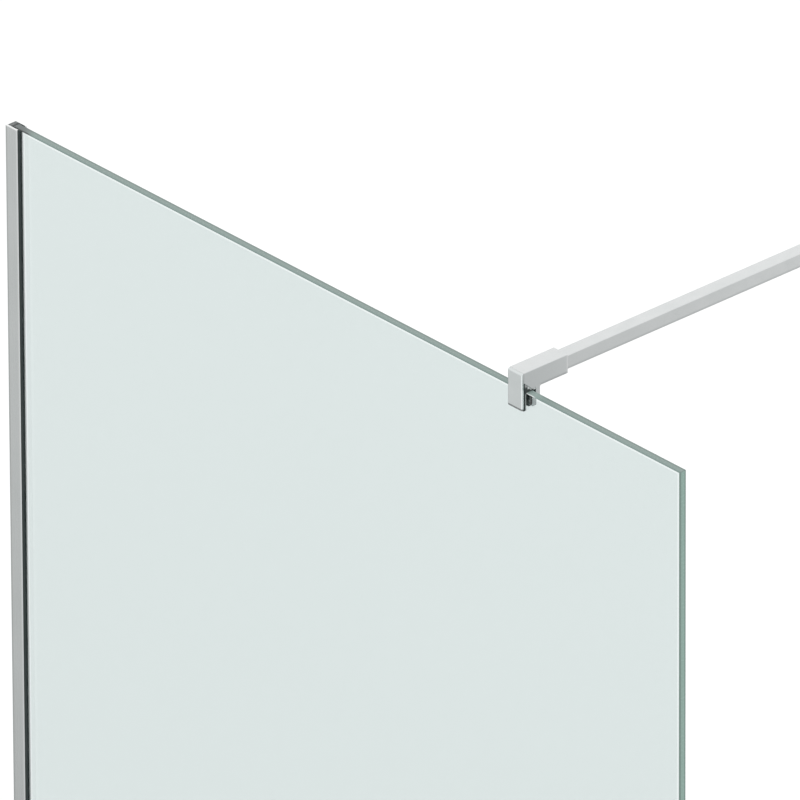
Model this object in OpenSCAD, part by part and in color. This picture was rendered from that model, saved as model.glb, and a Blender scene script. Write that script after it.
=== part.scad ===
// Walk-in shower screen: a fixed glass panel, the channel that holds it to the wall,
// and a square support arm that steadies its top edge from the side wall.
// X runs along the glass away from the wall, Y runs through the glass to the side wall,
// and Z is up. The origin lies on the wall at tray level, in the middle of the glass.

/* [Glass] */
// Height of the screen above the shower tray
screen_h = 1950; // [1600:10:2200]
// Reach of the glass from the wall, in the middle of its adjustment
screen_reach = 888; // [600:1:1200]
// Thickness of the toughened glass
glass_t = 8; // [6:1:10]
// Width of the ground arris on the glass edges
glass_arris = 0.6; // [0.3:0.1:1]
// Gap between the wall and the hidden edge of the glass
glass_inset = 7.5; // [7:0.1:8.5]
// Height of the glass above the tray
glass_lift = 8; // [6:0.5:12]
// How far the glass can be pushed in towards the wall when it is fitted
travel_in = 3; // [1:0.5:3.5]

/* [Wall channel] */
// Depth of the channel, from the wall to its mouth
channel_depth = 15.6; // [14:0.2:22]
// Thickness of the base that lies on the wall
channel_base_t = 1.6; // [1.2:0.1:2]
// Thickness of the two legs beside the glass
channel_leg_t = 1.2; // [1:0.1:1.8]
// Height of the lip inside each leg's mouth
lip_h = 0.3; // [0.2:0.05:0.4]
// Length of that lip
lip_l = 1.4; // [1:0.1:2]
// Bevel on the outer corners of the mouth
mouth_bevel = 0.4; // [0.2:0.1:0.6]
// Diameter of the screw holes in the base
wall_hole_d = 5; // [4:0.5:6]
// Height of the lowest hole, and depth of the highest below the top
wall_hole_end = 75; // [50:5:150]

/* [Seals and small plastics] */
// Room between each leg and the glass, which a seal strip fills
seal_room = 0.85; // [0.75:0.05:1.5]
// Width of the front seal strip that shows beside the channel
seal_show = 4; // [2:0.5:6]
// How far the front strip's face lies behind the leg's face
seal_recess = 0.45; // [0.2:0.05:0.8]
// Length of the strips' tails inside the channel
seal_tail = 4.2; // [2:0.2:5]
// Gap at which soft pieces lie from the glass and from what holds them
touch_gap = 0.05; // [0.02:0.01:0.08]
// Depth of the cap's plug inside the channel
cap_plug_l = 12; // [8:1:20]
// How far the cap lies below the channel's top
cap_set_down = 0.4; // [0:0.1:1]
// Height of the bottom seal's legs beside the glass
drip_leg_h = 14; // [8:1:20]
// Wall of the bottom seal
drip_wall = 1; // [0.6:0.1:1.5]

/* [Arm] */
// Distance from the middle of the clamp to the free edge of the glass
clamp_from_end = 207.7; // [60:0.1:400]
// Distance from the middle of the glass to the side wall
arm_reach = 1000; // [400:10:1200]
// Width across the square bar
bar_w = 14; // [12:1:20]
// Wall of the bar
bar_wall = 1.2; // [1:0.1:1.6]
// Corner radius of the bar
bar_r = 0.8; // [0.4:0.1:1]
// Running gap on each side of the bar in its two sockets
bar_gap = 0.05; // [0.03:0.01:0.08]
// Wall of the two sockets
socket_wall = 2.2; // [2.1:0.1:3.5]
// Radius of the sockets' long edges
socket_r = 0.6; // [0.3:0.1:1]
// Bevel at the sockets' mouths and at the seam behind the front plate
end_bevel = 0.45; // [0.2:0.05:0.7]

/* [Glass clamp] */
// Length of the clamp's socket behind the front plate
socket_l = 52.9; // [48:0.1:70]
// Depth of the bore that takes the bar
bore_depth = 39.6; // [30:0.1:40]
// Gap between the top of the glass and the socket
head_gap = 2; // [1.5:0.1:3]
// Thickness of the front plate
plate_t = 2.4; // [2.2:0.1:4]
// How far the front plate reaches below the top of the glass
plate_drop = 16.3; // [14:0.1:25]
// Corner radius of the front plate, seen from the front
plate_r = 1; // [0.5:0.1:2]
// Bevel on the front plate's edges
plate_bevel = 0.8; // [0.3:0.05:0.9]
// Thickness of the saddle's leg between the front plate and the glass
saddle_t = 3.25; // [2:0.05:4]
// Height of the sloped corner above the saddle's back
slope_h = 8.8; // [5:0.1:8.9]
// Length of that sloped corner
slope_l = 9.7; // [6:0.1:10]
// Room between the glass and the rear jaw
jaw_room = 3.4; // [3.3:0.1:5]
// Thickness of the rear jaw
jaw_t = 4.9; // [4:0.1:8]
// How far the rear jaw reaches below the top of the glass
jaw_drop = 16; // [15:0.1:25]

/* [Clamping pad] */
// Width of the pad
pad_w = 16; // [10:0.5:18]
// Height of the pad
pad_h = 10.1; // [7:0.1:12]
// Thickness of the rubber pad
pad_t = 1.5; // [1.2:0.1:1.6]
// Thickness of the pressure plate behind the pad
pressure_t = 1.2; // [1:0.1:1.3]
// Depth of the pad's middle below the top of the glass
pad_mid = 10.5; // [9:0.1:10.9]
// Diameter of the clamp screw
clamp_screw_d = 5; // [4:0.5:6]

/* [Wall bracket] */
// Thickness of the flange
flange_t = 3.5; // [3:0.1:5]
// Length of the bracket's socket
wall_socket_l = 31.5; // [28:0.5:45]
// Distance between the flange's two screw holes
flange_hole_pitch = 30; // [29:0.5:31]
// Diameter of those holes
flange_hole_d = 5; // [4:0.5:5]
// Width of the cover that slides over the flange
cover_w = 48; // [46:1:64]
// Height of the cover
cover_h = 8; // [7:0.5:12]
// Wall of the cover
cover_wall = 1.2; // [0.8:0.1:1.4]

/* [Hidden] */
$fn = 48;
cut = 1;                // how far a cutting shape runs past the face it cuts

steel = [0.78, 0.80, 0.81];
black = [0.18, 0.19, 0.19];

// The glass
glass_face = glass_t / 2;
glass_top = screen_h;
pane = [glass_inset, screen_reach];       // the glass runs between these two along X

// The wall channel and the seal strips
channel_w = glass_t + 2 * (seal_room + channel_leg_t);
leg_inner = glass_face + seal_room;
lip_inner = leg_inner - lip_h;
wall_hole_pitch = (screen_h - 2 * wall_hole_end) / 3;
strip_in = glass_face + touch_gap;
strip_neck = lip_inner - touch_gap;       // outer face of the strips beside the lip
strip_face = channel_w / 2 - seal_recess;
strip_end = channel_depth + seal_show;
tail_end = channel_depth - lip_l - touch_gap;
strip_bevel = 0.4;
strip_foot = 0.5;       // height of the strips' lower ends above the tray

// The cap at the top of the channel and the block under the glass
plug_room = 0.3;        // gap between the cap's plug and the glass pushed fully in
packer_gap = 0.1;       // gap between the block and the glass

// The bottom seal
drip_web = 1.2;
drip_end_gap = 1;
drip_start = strip_end + travel_in + drip_end_gap;
fin_foot = 0.4;         // height of the fin's tip above the tray
fin_root_y = 1.4;       // distance of the fin's root in front of the middle
fin_root_w = 1.6;
fin_tip_w = 0.9;
fin_lean = 2.6;

// The clamp, measured along X from its middle
clamp_x = screen_reach - clamp_from_end;
socket_w = bar_w + 2 * (bar_gap + socket_wall);
socket_z = glass_top + head_gap;
head_top = socket_z + socket_w;
bar_z = socket_z + socket_w / 2;
plate_back = -(glass_face + touch_gap + saddle_t);
plate_front = plate_back - plate_t;
mouth_y = plate_back + socket_l;
bore_end = mouth_y - bore_depth;
jaw_front = glass_face + jaw_room;
jaw_back = jaw_front + jaw_t;
jaw_bevel = 1.2;
jaw_fillet = 1.5;
bore_w = bar_w + 2 * bar_gap;
bore_r = 0.6 * bar_r;
saddle_side = 0.3;      // how far the saddle lies inside the clamp's sides
saddle_drop = 1.3;      // how far the saddle's foot shows below the plate's foot
saddle_over = 0.1;      // gap between the saddle and the top of the glass

// The screw that draws the front plate to the socket
plate_screw_down = 5.9;                   // distance of its axis below the socket's top
plate_screw_z = head_top - plate_screw_down;
plate_screw_r = 2;
plate_key_af = 3;       // width across the flats of its key
plate_key_depth = 2;
plate_shank_gap = 0.25;
thread_end_gap = 0.3;
plate_head_r = 3.5;
plate_head_h = 4;
washer_t = 0.8;
washer_r = 3.6;
washer_gap = 0.1;       // gap round the washer in its pocket
washer_hole_gap = 0.15;
boss_r = 3.4;
boss_l = 3.5;
boss_end_gap = 0.2;
head_gap_back = 0.2;    // gap between the screw's head and the bore's end
seat_gap = 0.05;        // gap round the boss and along the screws' threads
head_floor = bore_end - plate_head_h - washer_t - head_gap_back;
plate_skin = 1.3;       // metal left in front of the blind thread

// The pad, its pressure plate and the clamp screw
pad_z = glass_top - pad_mid;
pad_front = glass_face + touch_gap;
pressure_front = pad_front + pad_t;
pressure_back = pressure_front + pressure_t;
screw_hole_gap = 0.06;
clamp_screw_r = clamp_screw_d / 2 - screw_hole_gap / 2;
tip_r = 1.75;
tip_l = 0.7;
tip_gap = 0.05;
key_af = 2.5;           // width across the flats of the hexagon key
key_depth = 3;
pad_bevel = 0.5;

// The small screws that grip the bar in both sockets
grub_r = 1.5;
grub_l = 2;
grub_pitch = 12;
grub_key_af = 1.5;
grub_key_depth = 1.2;
grub_from_mouth = 8;

// The bar and the wall bracket
bar_end_gap = 1.5;      // gap between the bar and the end of its bore in the clamp
bar_wall_gap = 6.5;     // gap between the bar and the flange's face
bar_start = bore_end + bar_end_gap;
flange_face = arm_reach - flange_t;
wall_mouth = flange_face - wall_socket_l;
bar_stop = flange_face - bar_wall_gap;
flange_cover_gap = 0.8;                   // gap between the flange and the cover's wall
flange_w = cover_w - 2 * (cover_wall + flange_cover_gap);
flange_r = 3;
sink_r = 4.4;           // radius of the countersinks
cover_gap = 0.1;
cover_r = 3;
cover_bevel = 0.8;
cover_wall_gap = 0.2;   // gap between the cover's rim and the wall
cover_front = arm_reach - cover_wall_gap - cover_h;
ring_w = 2;
ring_t = 1.6;

// A flat shape drawn in X and Z, run along Y from y0
module along_y(y0, length) {
  translate([0, y0 + length, 0]) rotate([90, 0, 0]) linear_extrude(length) children();
}

// A flat shape drawn in Y and Z, run along X from x0
module along_x(x0, length) {
  translate([x0, 0, 0]) rotate([90, 0, 90]) linear_extrude(length) children();
}

// A rectangle about the origin with four round corners
module round_box(w, h, r) {
  square([w - 2 * r, h], center = true);
  square([w, h - 2 * r], center = true);
  for (x = [-1, 1], y = [-1, 1])
    translate([x * (w / 2 - r), y * (h / 2 - r)]) circle(r);
}

// A rectangle from corner a to corner b with bevelled corners
module bevel_box(a, b, c) {
  polygon([[a[0] + c, a[1]], [b[0] - c, a[1]], [b[0], a[1] + c], [b[0], b[1] - c],
    [b[0] - c, b[1]], [a[0] + c, b[1]], [a[0], b[1] - c], [a[0], a[1] + c]]);
}

// A round bar along Y
module rod_y(x, y0, z, r, length) {
  translate([x, y0 + length, z]) rotate([90, 0, 0]) cylinder(r = r, h = length);
}

// A hexagonal key recess along Y
module key_y(x, y0, z, af, length) {
  translate([x, y0 + length, z]) rotate([90, 0, 0])
    cylinder(d = af / cos(30), h = length, $fn = 6);
}

// The channel's section: a base on the wall and two legs with a lip inside each mouth
function channel_leg(y) = [[0, y], [channel_depth - mouth_bevel, y],
  [channel_depth, y - mouth_bevel], [channel_depth, lip_inner],
  [channel_depth - lip_l, lip_inner], [channel_depth - lip_l, leg_inner],
  [channel_base_t, leg_inner]];

module channel_section() {
  rear = channel_leg(channel_w / 2);
  front = [for (i = [len(rear) - 1:-1:0]) [rear[i][0], -rear[i][1]]];
  polygon(concat(rear, front));
}

module wall_channel() {
  color(steel) difference() {
    linear_extrude(screen_h) channel_section();
    for (i = [0:3])
      translate([-cut, 0, wall_hole_end + i * wall_hole_pitch]) rotate([0, 90, 0])
        cylinder(d = wall_hole_d, h = channel_base_t + 2 * cut);
  }
}

// A seal strip on the rear side: a tail behind the lip, and an end at the mouth
module seal_strip(end) {
  tail_y = leg_inner - touch_gap;
  tail_x = tail_end - seal_tail;
  tail = [[tail_end, strip_neck], [tail_end, tail_y], [tail_x + lip_l, tail_y],
    [tail_x, strip_in + lip_h], [tail_x, strip_in]];
  translate([0, 0, strip_foot]) linear_extrude(screen_h - strip_foot)
    polygon(concat(end, tail));
}

// The front strip ends in a head that covers the gap beside the glass
module front_seal_strip() {
  head_x = channel_depth + touch_gap;
  color(black) mirror([0, 1, 0])
    seal_strip([[strip_end, strip_in], [strip_end, strip_face - strip_bevel],
      [strip_end - strip_bevel, strip_face], [head_x, strip_face], [head_x, strip_neck]]);
}

// The rear strip ends flush with the channel's mouth
module rear_seal_strip() {
  color(black)
    seal_strip([[channel_depth, strip_in], [channel_depth, strip_neck]]);
}

// The cap's plug stands between the channel's base and the glass pushed fully in
module channel_cap() {
  x0 = channel_base_t + touch_gap;
  x1 = glass_inset - travel_in - plug_room;
  y = leg_inner - touch_gap;
  z1 = screen_h - cap_set_down;
  color([0.42, 0.44, 0.45]) translate([0, 0, z1 - cap_plug_l])
    linear_extrude(cap_plug_l) polygon([[x0, -y], [x1, -y], [x1, y], [x0, y]]);
}

// The block in the channel's foot that carries the corner of the glass
module glass_packer() {
  x0 = channel_base_t + touch_gap;
  y = strip_in - touch_gap;
  color([0.25, 0.26, 0.27])
    translate([x0, -y, 0]) cube([channel_depth - x0, 2 * y, glass_lift - packer_gap]);
}

module glass_panel() {
  e = glass_arris;
  h = glass_top - glass_lift;
  color([0.80, 0.90, 0.87, 0.45]) intersection() {
    translate([0, 0, glass_lift]) linear_extrude(h)
      bevel_box([pane[0], -glass_face], [pane[1], glass_face], e);
    along_x(pane[0], pane[1] - pane[0])
      bevel_box([-glass_face, glass_lift], [glass_face, glass_top], e);
  }
}

// The clear strip that clips on under the glass, with a fin that sweeps the tray
module bottom_seal() {
  y_in = glass_face + touch_gap;
  y_out = y_in + drip_wall;
  z_web = glass_lift - touch_gap;
  z_under = z_web - drip_web;
  tip_y = -fin_root_y - fin_lean;
  color([0.85, 0.88, 0.88, 0.6]) along_x(drip_start, screen_reach - drip_start)
    polygon([[-y_out, z_under], [-fin_root_y, z_under], [tip_y, fin_foot],
      [tip_y + fin_tip_w, fin_foot], [fin_root_w - fin_root_y, z_under],
      [y_out, z_under], [y_out, z_web + drip_leg_h], [y_in, z_web + drip_leg_h],
      [y_in, z_web], [-y_in, z_web], [-y_in, z_web + drip_leg_h],
      [-y_out, z_web + drip_leg_h]]);
}

// The clamp body seen from its side: the socket, the sloped corner and the rear jaw
module clamp_side() {
  e = end_bevel;
  foot = glass_top - jaw_drop;
  root = [jaw_back + jaw_fillet, socket_z - jaw_fillet];
  difference() {
    polygon([[plate_back, socket_z + slope_h], [plate_back, head_top - e],
      [plate_back + e, head_top], [mouth_y - e, head_top], [mouth_y, head_top - e],
      [mouth_y, socket_z + e], [mouth_y - e, socket_z], [root[0], socket_z], root,
      [jaw_back, root[1]], [jaw_back, foot + jaw_bevel], [jaw_back - jaw_bevel, foot],
      [jaw_front, foot], [jaw_front, socket_z], [plate_back + slope_l, socket_z]]);
    translate(root) circle(jaw_fillet);
  }
}

// The same body seen from the front, with its long edges rounded
module clamp_front() {
  foot = glass_top - jaw_drop;
  translate([0, (head_top + foot) / 2]) round_box(socket_w, head_top - foot, socket_r);
}

module clamp_body() {
  w = socket_w / 2;
  color(steel) translate([clamp_x, 0, 0]) difference() {
    intersection() {
      along_x(-w, socket_w) clamp_side();
      along_y(plate_back, socket_l) clamp_front();
      translate([0, 0, glass_top - jaw_drop])
        linear_extrude(head_top - glass_top + jaw_drop)
          bevel_box([-w, plate_back], [w, mouth_y], end_bevel);
    }
    translate([0, 0, bar_z]) along_y(bore_end, bore_depth + cut)
      round_box(bore_w, bore_w, bore_r);
    rod_y(0, plate_back - cut, plate_screw_z, boss_r + seat_gap,
      boss_l + boss_end_gap + cut);
    rod_y(0, plate_back, plate_screw_z, plate_screw_r + plate_shank_gap,
      bore_end - plate_back);
    rod_y(0, head_floor, plate_screw_z, washer_r + washer_gap, bore_end - head_floor + cut);
    rod_y(0, jaw_front - cut, pad_z, clamp_screw_r + screw_hole_gap, jaw_t + 2 * cut);
    for (i = [0, 1])
      translate([0, mouth_y - grub_from_mouth - i * grub_pitch, socket_z - cut])
        cylinder(r = grub_r + seat_gap, h = socket_wall + 2 * cut);
  }
}

// The front plate: its top front edge is fully rounded, and a boss behind it is tapped
module front_plate() {
  w = socket_w / 2;
  e = plate_bevel;
  foot = glass_top - plate_drop;
  round_y = plate_front + plate_t;
  color(steel) translate([clamp_x, 0, 0]) difference() {
    union() {
      intersection() {
        along_x(-w, socket_w) union() {
          polygon([[plate_front + e, foot], [plate_back - e, foot],
            [plate_back, foot + e], [plate_back, head_top - plate_t],
            [plate_front, head_top - plate_t], [plate_front, foot + e]]);
          intersection() {
            translate([round_y, head_top - plate_t]) circle(plate_t);
            translate([plate_front, head_top - plate_t]) square(plate_t);
          }
        }
        along_y(plate_front, plate_t)
          translate([0, (head_top + foot) / 2]) round_box(socket_w, head_top - foot, plate_r);
        translate([0, 0, foot]) linear_extrude(head_top - foot)
          bevel_box([-w, plate_front], [w, plate_back], e);
      }
      rod_y(0, plate_back - plate_t / 2, plate_screw_z, boss_r, boss_l + plate_t / 2);
    }
    rod_y(0, plate_front + plate_skin, plate_screw_z, plate_screw_r + seat_gap,
      plate_t + boss_l);
  }
}

module plate_screw() {
  head_y = head_floor + washer_t;
  shank_y = plate_front + plate_skin + thread_end_gap;
  color([0.35, 0.36, 0.37]) translate([clamp_x, 0, 0]) difference() {
    union() {
      rod_y(0, shank_y, plate_screw_z, plate_screw_r, head_y - shank_y + cut);
      rod_y(0, head_y, plate_screw_z, plate_head_r, plate_head_h);
    }
    key_y(0, head_y + plate_head_h - plate_key_depth, plate_screw_z, plate_key_af,
      plate_key_depth + cut);
  }
}

module plate_washer() {
  color([0.55, 0.56, 0.57]) translate([clamp_x, 0, 0]) difference() {
    rod_y(0, head_floor, plate_screw_z, washer_r, washer_t);
    rod_y(0, head_floor - cut, plate_screw_z, plate_screw_r + washer_hole_gap,
      washer_t + 2 * cut);
  }
}

// The soft saddle: a leg before the glass, a back over its edge and a sloped corner
module glass_saddle() {
  w = socket_w - 2 * saddle_side;
  foot = glass_top - plate_drop - saddle_drop;
  under = glass_top + saddle_over;
  over = socket_z - touch_gap;
  color(black) translate([clamp_x, 0, 0]) along_x(-w / 2, w)
    polygon([[plate_back, foot], [-glass_face - touch_gap, foot],
      [-glass_face - touch_gap, under], [jaw_front - touch_gap, under],
      [jaw_front - touch_gap, over], [plate_back + slope_l - touch_gap, over],
      [plate_back, over + slope_h]]);
}

// Two small screws in a row under a socket, from y0 towards the glass
module grub_pair(y0) {
  for (i = [0, 1])
    translate([clamp_x, y0 - i * grub_pitch, socket_z + socket_wall - grub_l])
      difference() {
        cylinder(r = grub_r, h = grub_l);
        translate([0, 0, -cut])
          cylinder(d = grub_key_af / cos(30), h = grub_key_depth + cut, $fn = 6);
      }
}

module clamp_grub_screws() {
  color([0.3, 0.31, 0.32]) grub_pair(mouth_y - grub_from_mouth);
}

// Pad and pressure plate share their outline, seen along the glass's thickness
module pad_outline() {
  bevel_box([-pad_w / 2, pad_z - pad_h / 2], [pad_w / 2, pad_z + pad_h / 2], pad_bevel);
}

module rear_pad() {
  color(black) translate([clamp_x, 0, 0]) along_y(pad_front, pad_t) pad_outline();
}

module pressure_plate() {
  color([0.22, 0.23, 0.24]) translate([clamp_x, 0, 0]) difference() {
    along_y(pressure_front, pressure_t) pad_outline();
    rod_y(0, pressure_back - tip_l - tip_gap, pad_z, tip_r + tip_gap,
      tip_l + tip_gap + cut);
  }
}

module clamp_screw() {
  body_y = pressure_back + tip_gap;
  color([0.35, 0.36, 0.37]) translate([clamp_x, 0, 0]) difference() {
    union() {
      rod_y(0, pressure_back - tip_l, pad_z, tip_r, tip_l + 2 * tip_gap);
      rod_y(0, body_y, pad_z, clamp_screw_r, jaw_back - body_y);
    }
    key_y(0, jaw_back - key_depth, pad_z, key_af, key_depth + cut);
  }
}

module support_bar() {
  inner = bar_w - 2 * bar_wall;
  color(steel) translate([clamp_x, 0, bar_z]) along_y(bar_start, bar_stop - bar_start)
    difference() {
      round_box(bar_w, bar_w, bar_r);
      square(inner, center = true);
    }
}

module wall_flange() {
  w = socket_w / 2;
  color(steel) translate([clamp_x, 0, bar_z]) difference() {
    union() {
      along_y(flange_face, flange_t) round_box(flange_w, flange_w, flange_r);
      intersection() {
        along_y(wall_mouth, wall_socket_l + flange_t / 2)
          round_box(socket_w, socket_w, socket_r);
        along_x(-w, socket_w)
          bevel_box([wall_mouth, -w], [arm_reach, w], end_bevel);
        translate([0, 0, -w]) linear_extrude(socket_w)
          bevel_box([-w, wall_mouth], [w, arm_reach], end_bevel);
      }
    }
    along_y(wall_mouth - cut, wall_socket_l + cut) round_box(bore_w, bore_w, bore_r);
    for (s = [-1, 1]) {
      rod_y(0, flange_face - cut, s * flange_hole_pitch / 2, flange_hole_d / 2,
        flange_t + 2 * cut);
      translate([0, flange_face, s * flange_hole_pitch / 2]) rotate([-90, 0, 0])
        cylinder(r1 = sink_r, r2 = flange_hole_d / 2, h = sink_r - flange_hole_d / 2);
    }
    for (i = [0, 1])
      translate([0, wall_mouth + grub_from_mouth + i * grub_pitch, -w - cut])
        cylinder(r = grub_r + seat_gap, h = socket_wall + 2 * cut);
  }
}

module wall_grub_screws() {
  color([0.3, 0.31, 0.32]) grub_pair(wall_mouth + grub_from_mouth + grub_pitch);
}

// A shallow cover that slides along the socket and the bar to show the flange's screws
module wall_cover() {
  hole = socket_w + 2 * cover_gap;
  inner = cover_w - 2 * cover_wall;
  color(steel) translate([clamp_x, 0, bar_z]) difference() {
    intersection() {
      along_y(cover_front, cover_h) round_box(cover_w, cover_w, cover_r);
      along_x(-cover_w / 2, cover_w)
        bevel_box([cover_front, -cover_w / 2], [cover_front + 2 * cover_h, cover_w / 2],
          cover_bevel);
      translate([0, 0, -cover_w / 2]) linear_extrude(cover_w)
        bevel_box([-cover_w / 2, cover_front], [cover_w / 2, cover_front + 2 * cover_h],
          cover_bevel);
    }
    along_y(cover_front + cover_wall, cover_h) round_box(inner, inner, cover_r - cover_wall);
    along_y(cover_front - cut, cover_h) square(hole, center = true);
  }
}

// The ring inside the cover's hole that keeps it from rattling on the socket
module cover_ring() {
  hole = socket_w + 2 * touch_gap;
  color([0.3, 0.3, 0.31]) translate([clamp_x, 0, bar_z])
    along_y(cover_front + cover_wall, ring_t) difference() {
      square(hole + 2 * ring_w, center = true);
      square(hole, center = true);
    }
}

wall_channel();
front_seal_strip();
rear_seal_strip();
channel_cap();
glass_packer();
glass_panel();
bottom_seal();
clamp_body();
front_plate();
plate_screw();
plate_washer();
glass_saddle();
clamp_grub_screws();
rear_pad();
pressure_plate();
clamp_screw();
support_bar();
wall_flange();
wall_grub_screws();
wall_cover();
cover_ring();
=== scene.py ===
"""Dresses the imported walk-in shower screen and sets it in a plain pale studio.

The pieces are the glass, its wall channel with two seal strips, the glass clamp, the
support arm and its wall bracket. Sizes are in millimetres and become metres in the meshes.
Where the plural of round is a field's name, it holds the radii of corners in their order.
"""
import logging
import math
from dataclasses import dataclass
from enum import Enum
from typing import Iterable, Iterator, Sequence

import bmesh
import bpy
from mathutils import Matrix, Vector


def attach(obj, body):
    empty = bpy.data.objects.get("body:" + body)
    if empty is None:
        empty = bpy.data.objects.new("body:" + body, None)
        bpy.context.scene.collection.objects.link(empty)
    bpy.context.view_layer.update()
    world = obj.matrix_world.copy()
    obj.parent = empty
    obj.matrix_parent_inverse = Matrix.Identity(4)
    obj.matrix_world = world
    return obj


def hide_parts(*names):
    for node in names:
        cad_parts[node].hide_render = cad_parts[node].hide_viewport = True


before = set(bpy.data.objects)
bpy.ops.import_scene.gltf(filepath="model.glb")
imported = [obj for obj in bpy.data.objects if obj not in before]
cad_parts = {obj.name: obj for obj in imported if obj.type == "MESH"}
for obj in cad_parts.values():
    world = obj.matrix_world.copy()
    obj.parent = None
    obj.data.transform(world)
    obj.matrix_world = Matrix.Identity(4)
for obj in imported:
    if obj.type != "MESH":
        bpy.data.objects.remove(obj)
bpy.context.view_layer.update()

MM = 0.001
# How far a cutting solid runs past the face that it cuts, in millimetres
OVERSHOOT = 1.0
# Length of a step in a turned solid, too short to be seen, in millimetres
STEP = 0.0001
# The largest share of an edge that the round at its end takes
ROUND_SHARE = 0.49
# Edges that turn by more degrees than this stay sharp in the shading
SHARP_FROM = 32.0
Point2 = tuple[float, float]
Point3 = tuple[float, float, float]
Colour = tuple[float, float, float]
log = logging.getLogger("shower_screen")


class Axis(Enum):
    """A direction that a section is drawn out along."""

    X = 0
    Y = 1
    Z = 2


class Body(Enum):
    """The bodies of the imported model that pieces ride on."""

    CHANNEL = "wall_channel"
    GLASS = "glass"
    CLAMP = "clamp"
    PAD = "pad"
    CLAMP_SCREW = "clamp_screw"
    ARM = "arm"
    BRACKET = "wall_bracket"
    COVER = "cover"


class Slot(Enum):
    """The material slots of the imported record."""

    ALUMINIUM = "polished_aluminium"
    CHROME = "chrome"
    STEEL = "screw_steel"
    RUBBER = "seal_rubber"
    PLASTIC = "dark_plastic"
    GLASS = "toughened_glass"
    VINYL = "clear_vinyl"


@dataclass(frozen=True)
class Layout:
    """Sizes that several sub-assemblies and finishes share, in millimetres."""

    height: float = 1950.0
    reach: float = 888.0
    glass_face: float = 4.0
    channel_depth: float = 15.6
    clamp_x: float = 680.3
    clamp_l: float = 52.9
    socket_w: float = 18.5
    socket_z: float = 1952.0
    bore_w: float = 14.1
    jaw_back: float = 12.3
    saddle_t: float = 3.25
    plate_drop: float = 16.8
    pad_mid: float = 10.5
    touch: float = 0.05

    @property
    def head_top(self) -> float:
        """Height of the sockets' upper face."""
        return self.socket_z + self.socket_w

    @property
    def arm_axis(self) -> Point2:
        """Where the arm's middle lies, along X and Z."""
        return self.clamp_x, self.socket_z + self.socket_w / 2

    @property
    def clamp_sides(self) -> Point2:
        """Where the clamp's left and right faces lie along X."""
        return self.clamp_x - self.socket_w / 2, self.clamp_x + self.socket_w / 2

    @property
    def plate_back(self) -> float:
        """Where the front plate meets the clamp's body along Y."""
        return -(self.glass_face + self.touch + self.saddle_t)

    @property
    def clamp_mouth(self) -> float:
        """Where the mouth of the clamp's socket lies along Y."""
        return self.plate_back + self.clamp_l

    @property
    def plate_foot(self) -> float:
        """Height of the front plate's foot."""
        return self.height - self.plate_drop

    @property
    def pad_z(self) -> float:
        """Height of the pad's middle."""
        return self.height - self.pad_mid


LAYOUT = Layout()


# Mesh helpers

def link(name: str, data: bpy.types.ID) -> bpy.types.Object:
    """Makes an object of some data and puts it in the scene.

    Args:
        name: The object's name.
        data: A mesh or a curve.

    Returns:
        The new object.
    """
    made = bpy.data.objects.new(name, data)
    bpy.context.scene.collection.objects.link(made)
    return made


def drop(objects: Iterable[bpy.types.Object]) -> None:
    """Removes helper objects."""
    for o in list(objects):
        bpy.data.objects.remove(o)


def area_of(outline: Sequence[Point2]) -> float:
    """Signed area of a closed outline, which is positive when it runs anticlockwise."""
    pairs = zip(outline, [*outline[1:], outline[0]])
    return sum(a[0] * b[1] - b[0] * a[1] for a, b in pairs) / 2


def rounded(outline: Sequence[Point2], radii: Sequence[float] | float,
            steps: int = 4) -> list[Point2]:
    """Rounds the corners of a closed outline.

    Args:
        outline: The corners in order.
        radii: One radius for all corners or one for each. A radius of 0 keeps a corner.
        steps: How many short edges each round has.

    Returns:
        The outline with its rounds.
    """
    count = len(outline)
    sizes = [radii] * count if isinstance(radii, (int, float)) else list(radii)
    made: list[Point2] = []
    for i, (corner, size) in enumerate(zip(outline, sizes)):
        here = Vector(corner)
        back, ahead = Vector(outline[i - 1]) - here, Vector(outline[(i + 1) % count]) - here
        if size <= 0:
            made.append(corner)
            continue
        u, v = back.normalized(), ahead.normalized()
        half = u.angle(v) / 2
        room = ROUND_SHARE * min(back.length, ahead.length)
        run = min(size / math.tan(half), room)
        radius = run * math.tan(half)
        centre = here + (u + v).normalized() * (radius / math.sin(half))
        first, last = here + u * run - centre, here + v * run - centre
        turn = first.angle_signed(last)
        for k in range(steps + 1):
            angle = -turn * k / steps
            x = first.x * math.cos(angle) - first.y * math.sin(angle)
            y = first.x * math.sin(angle) + first.y * math.cos(angle)
            made.append((centre.x + x, centre.y + y))
    return made


def rectangle(low: Point2, high: Point2) -> list[Point2]:
    """Corners of an upright rectangle, anticlockwise."""
    return [low, (high[0], low[1]), high, (low[0], high[1])]


def place(axis: Axis, along: float, point: Point2) -> Point3:
    """Puts a point of a flat section into space.

    Args:
        axis: The direction across the section.
        along: Where the section lies along it.
        point: The point, in the section's own two directions, in the order X, Y, Z.

    Returns:
        The point in space.
    """
    rest = list(point)
    rest.insert(axis.value, along)
    return rest[0], rest[1], rest[2]


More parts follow.
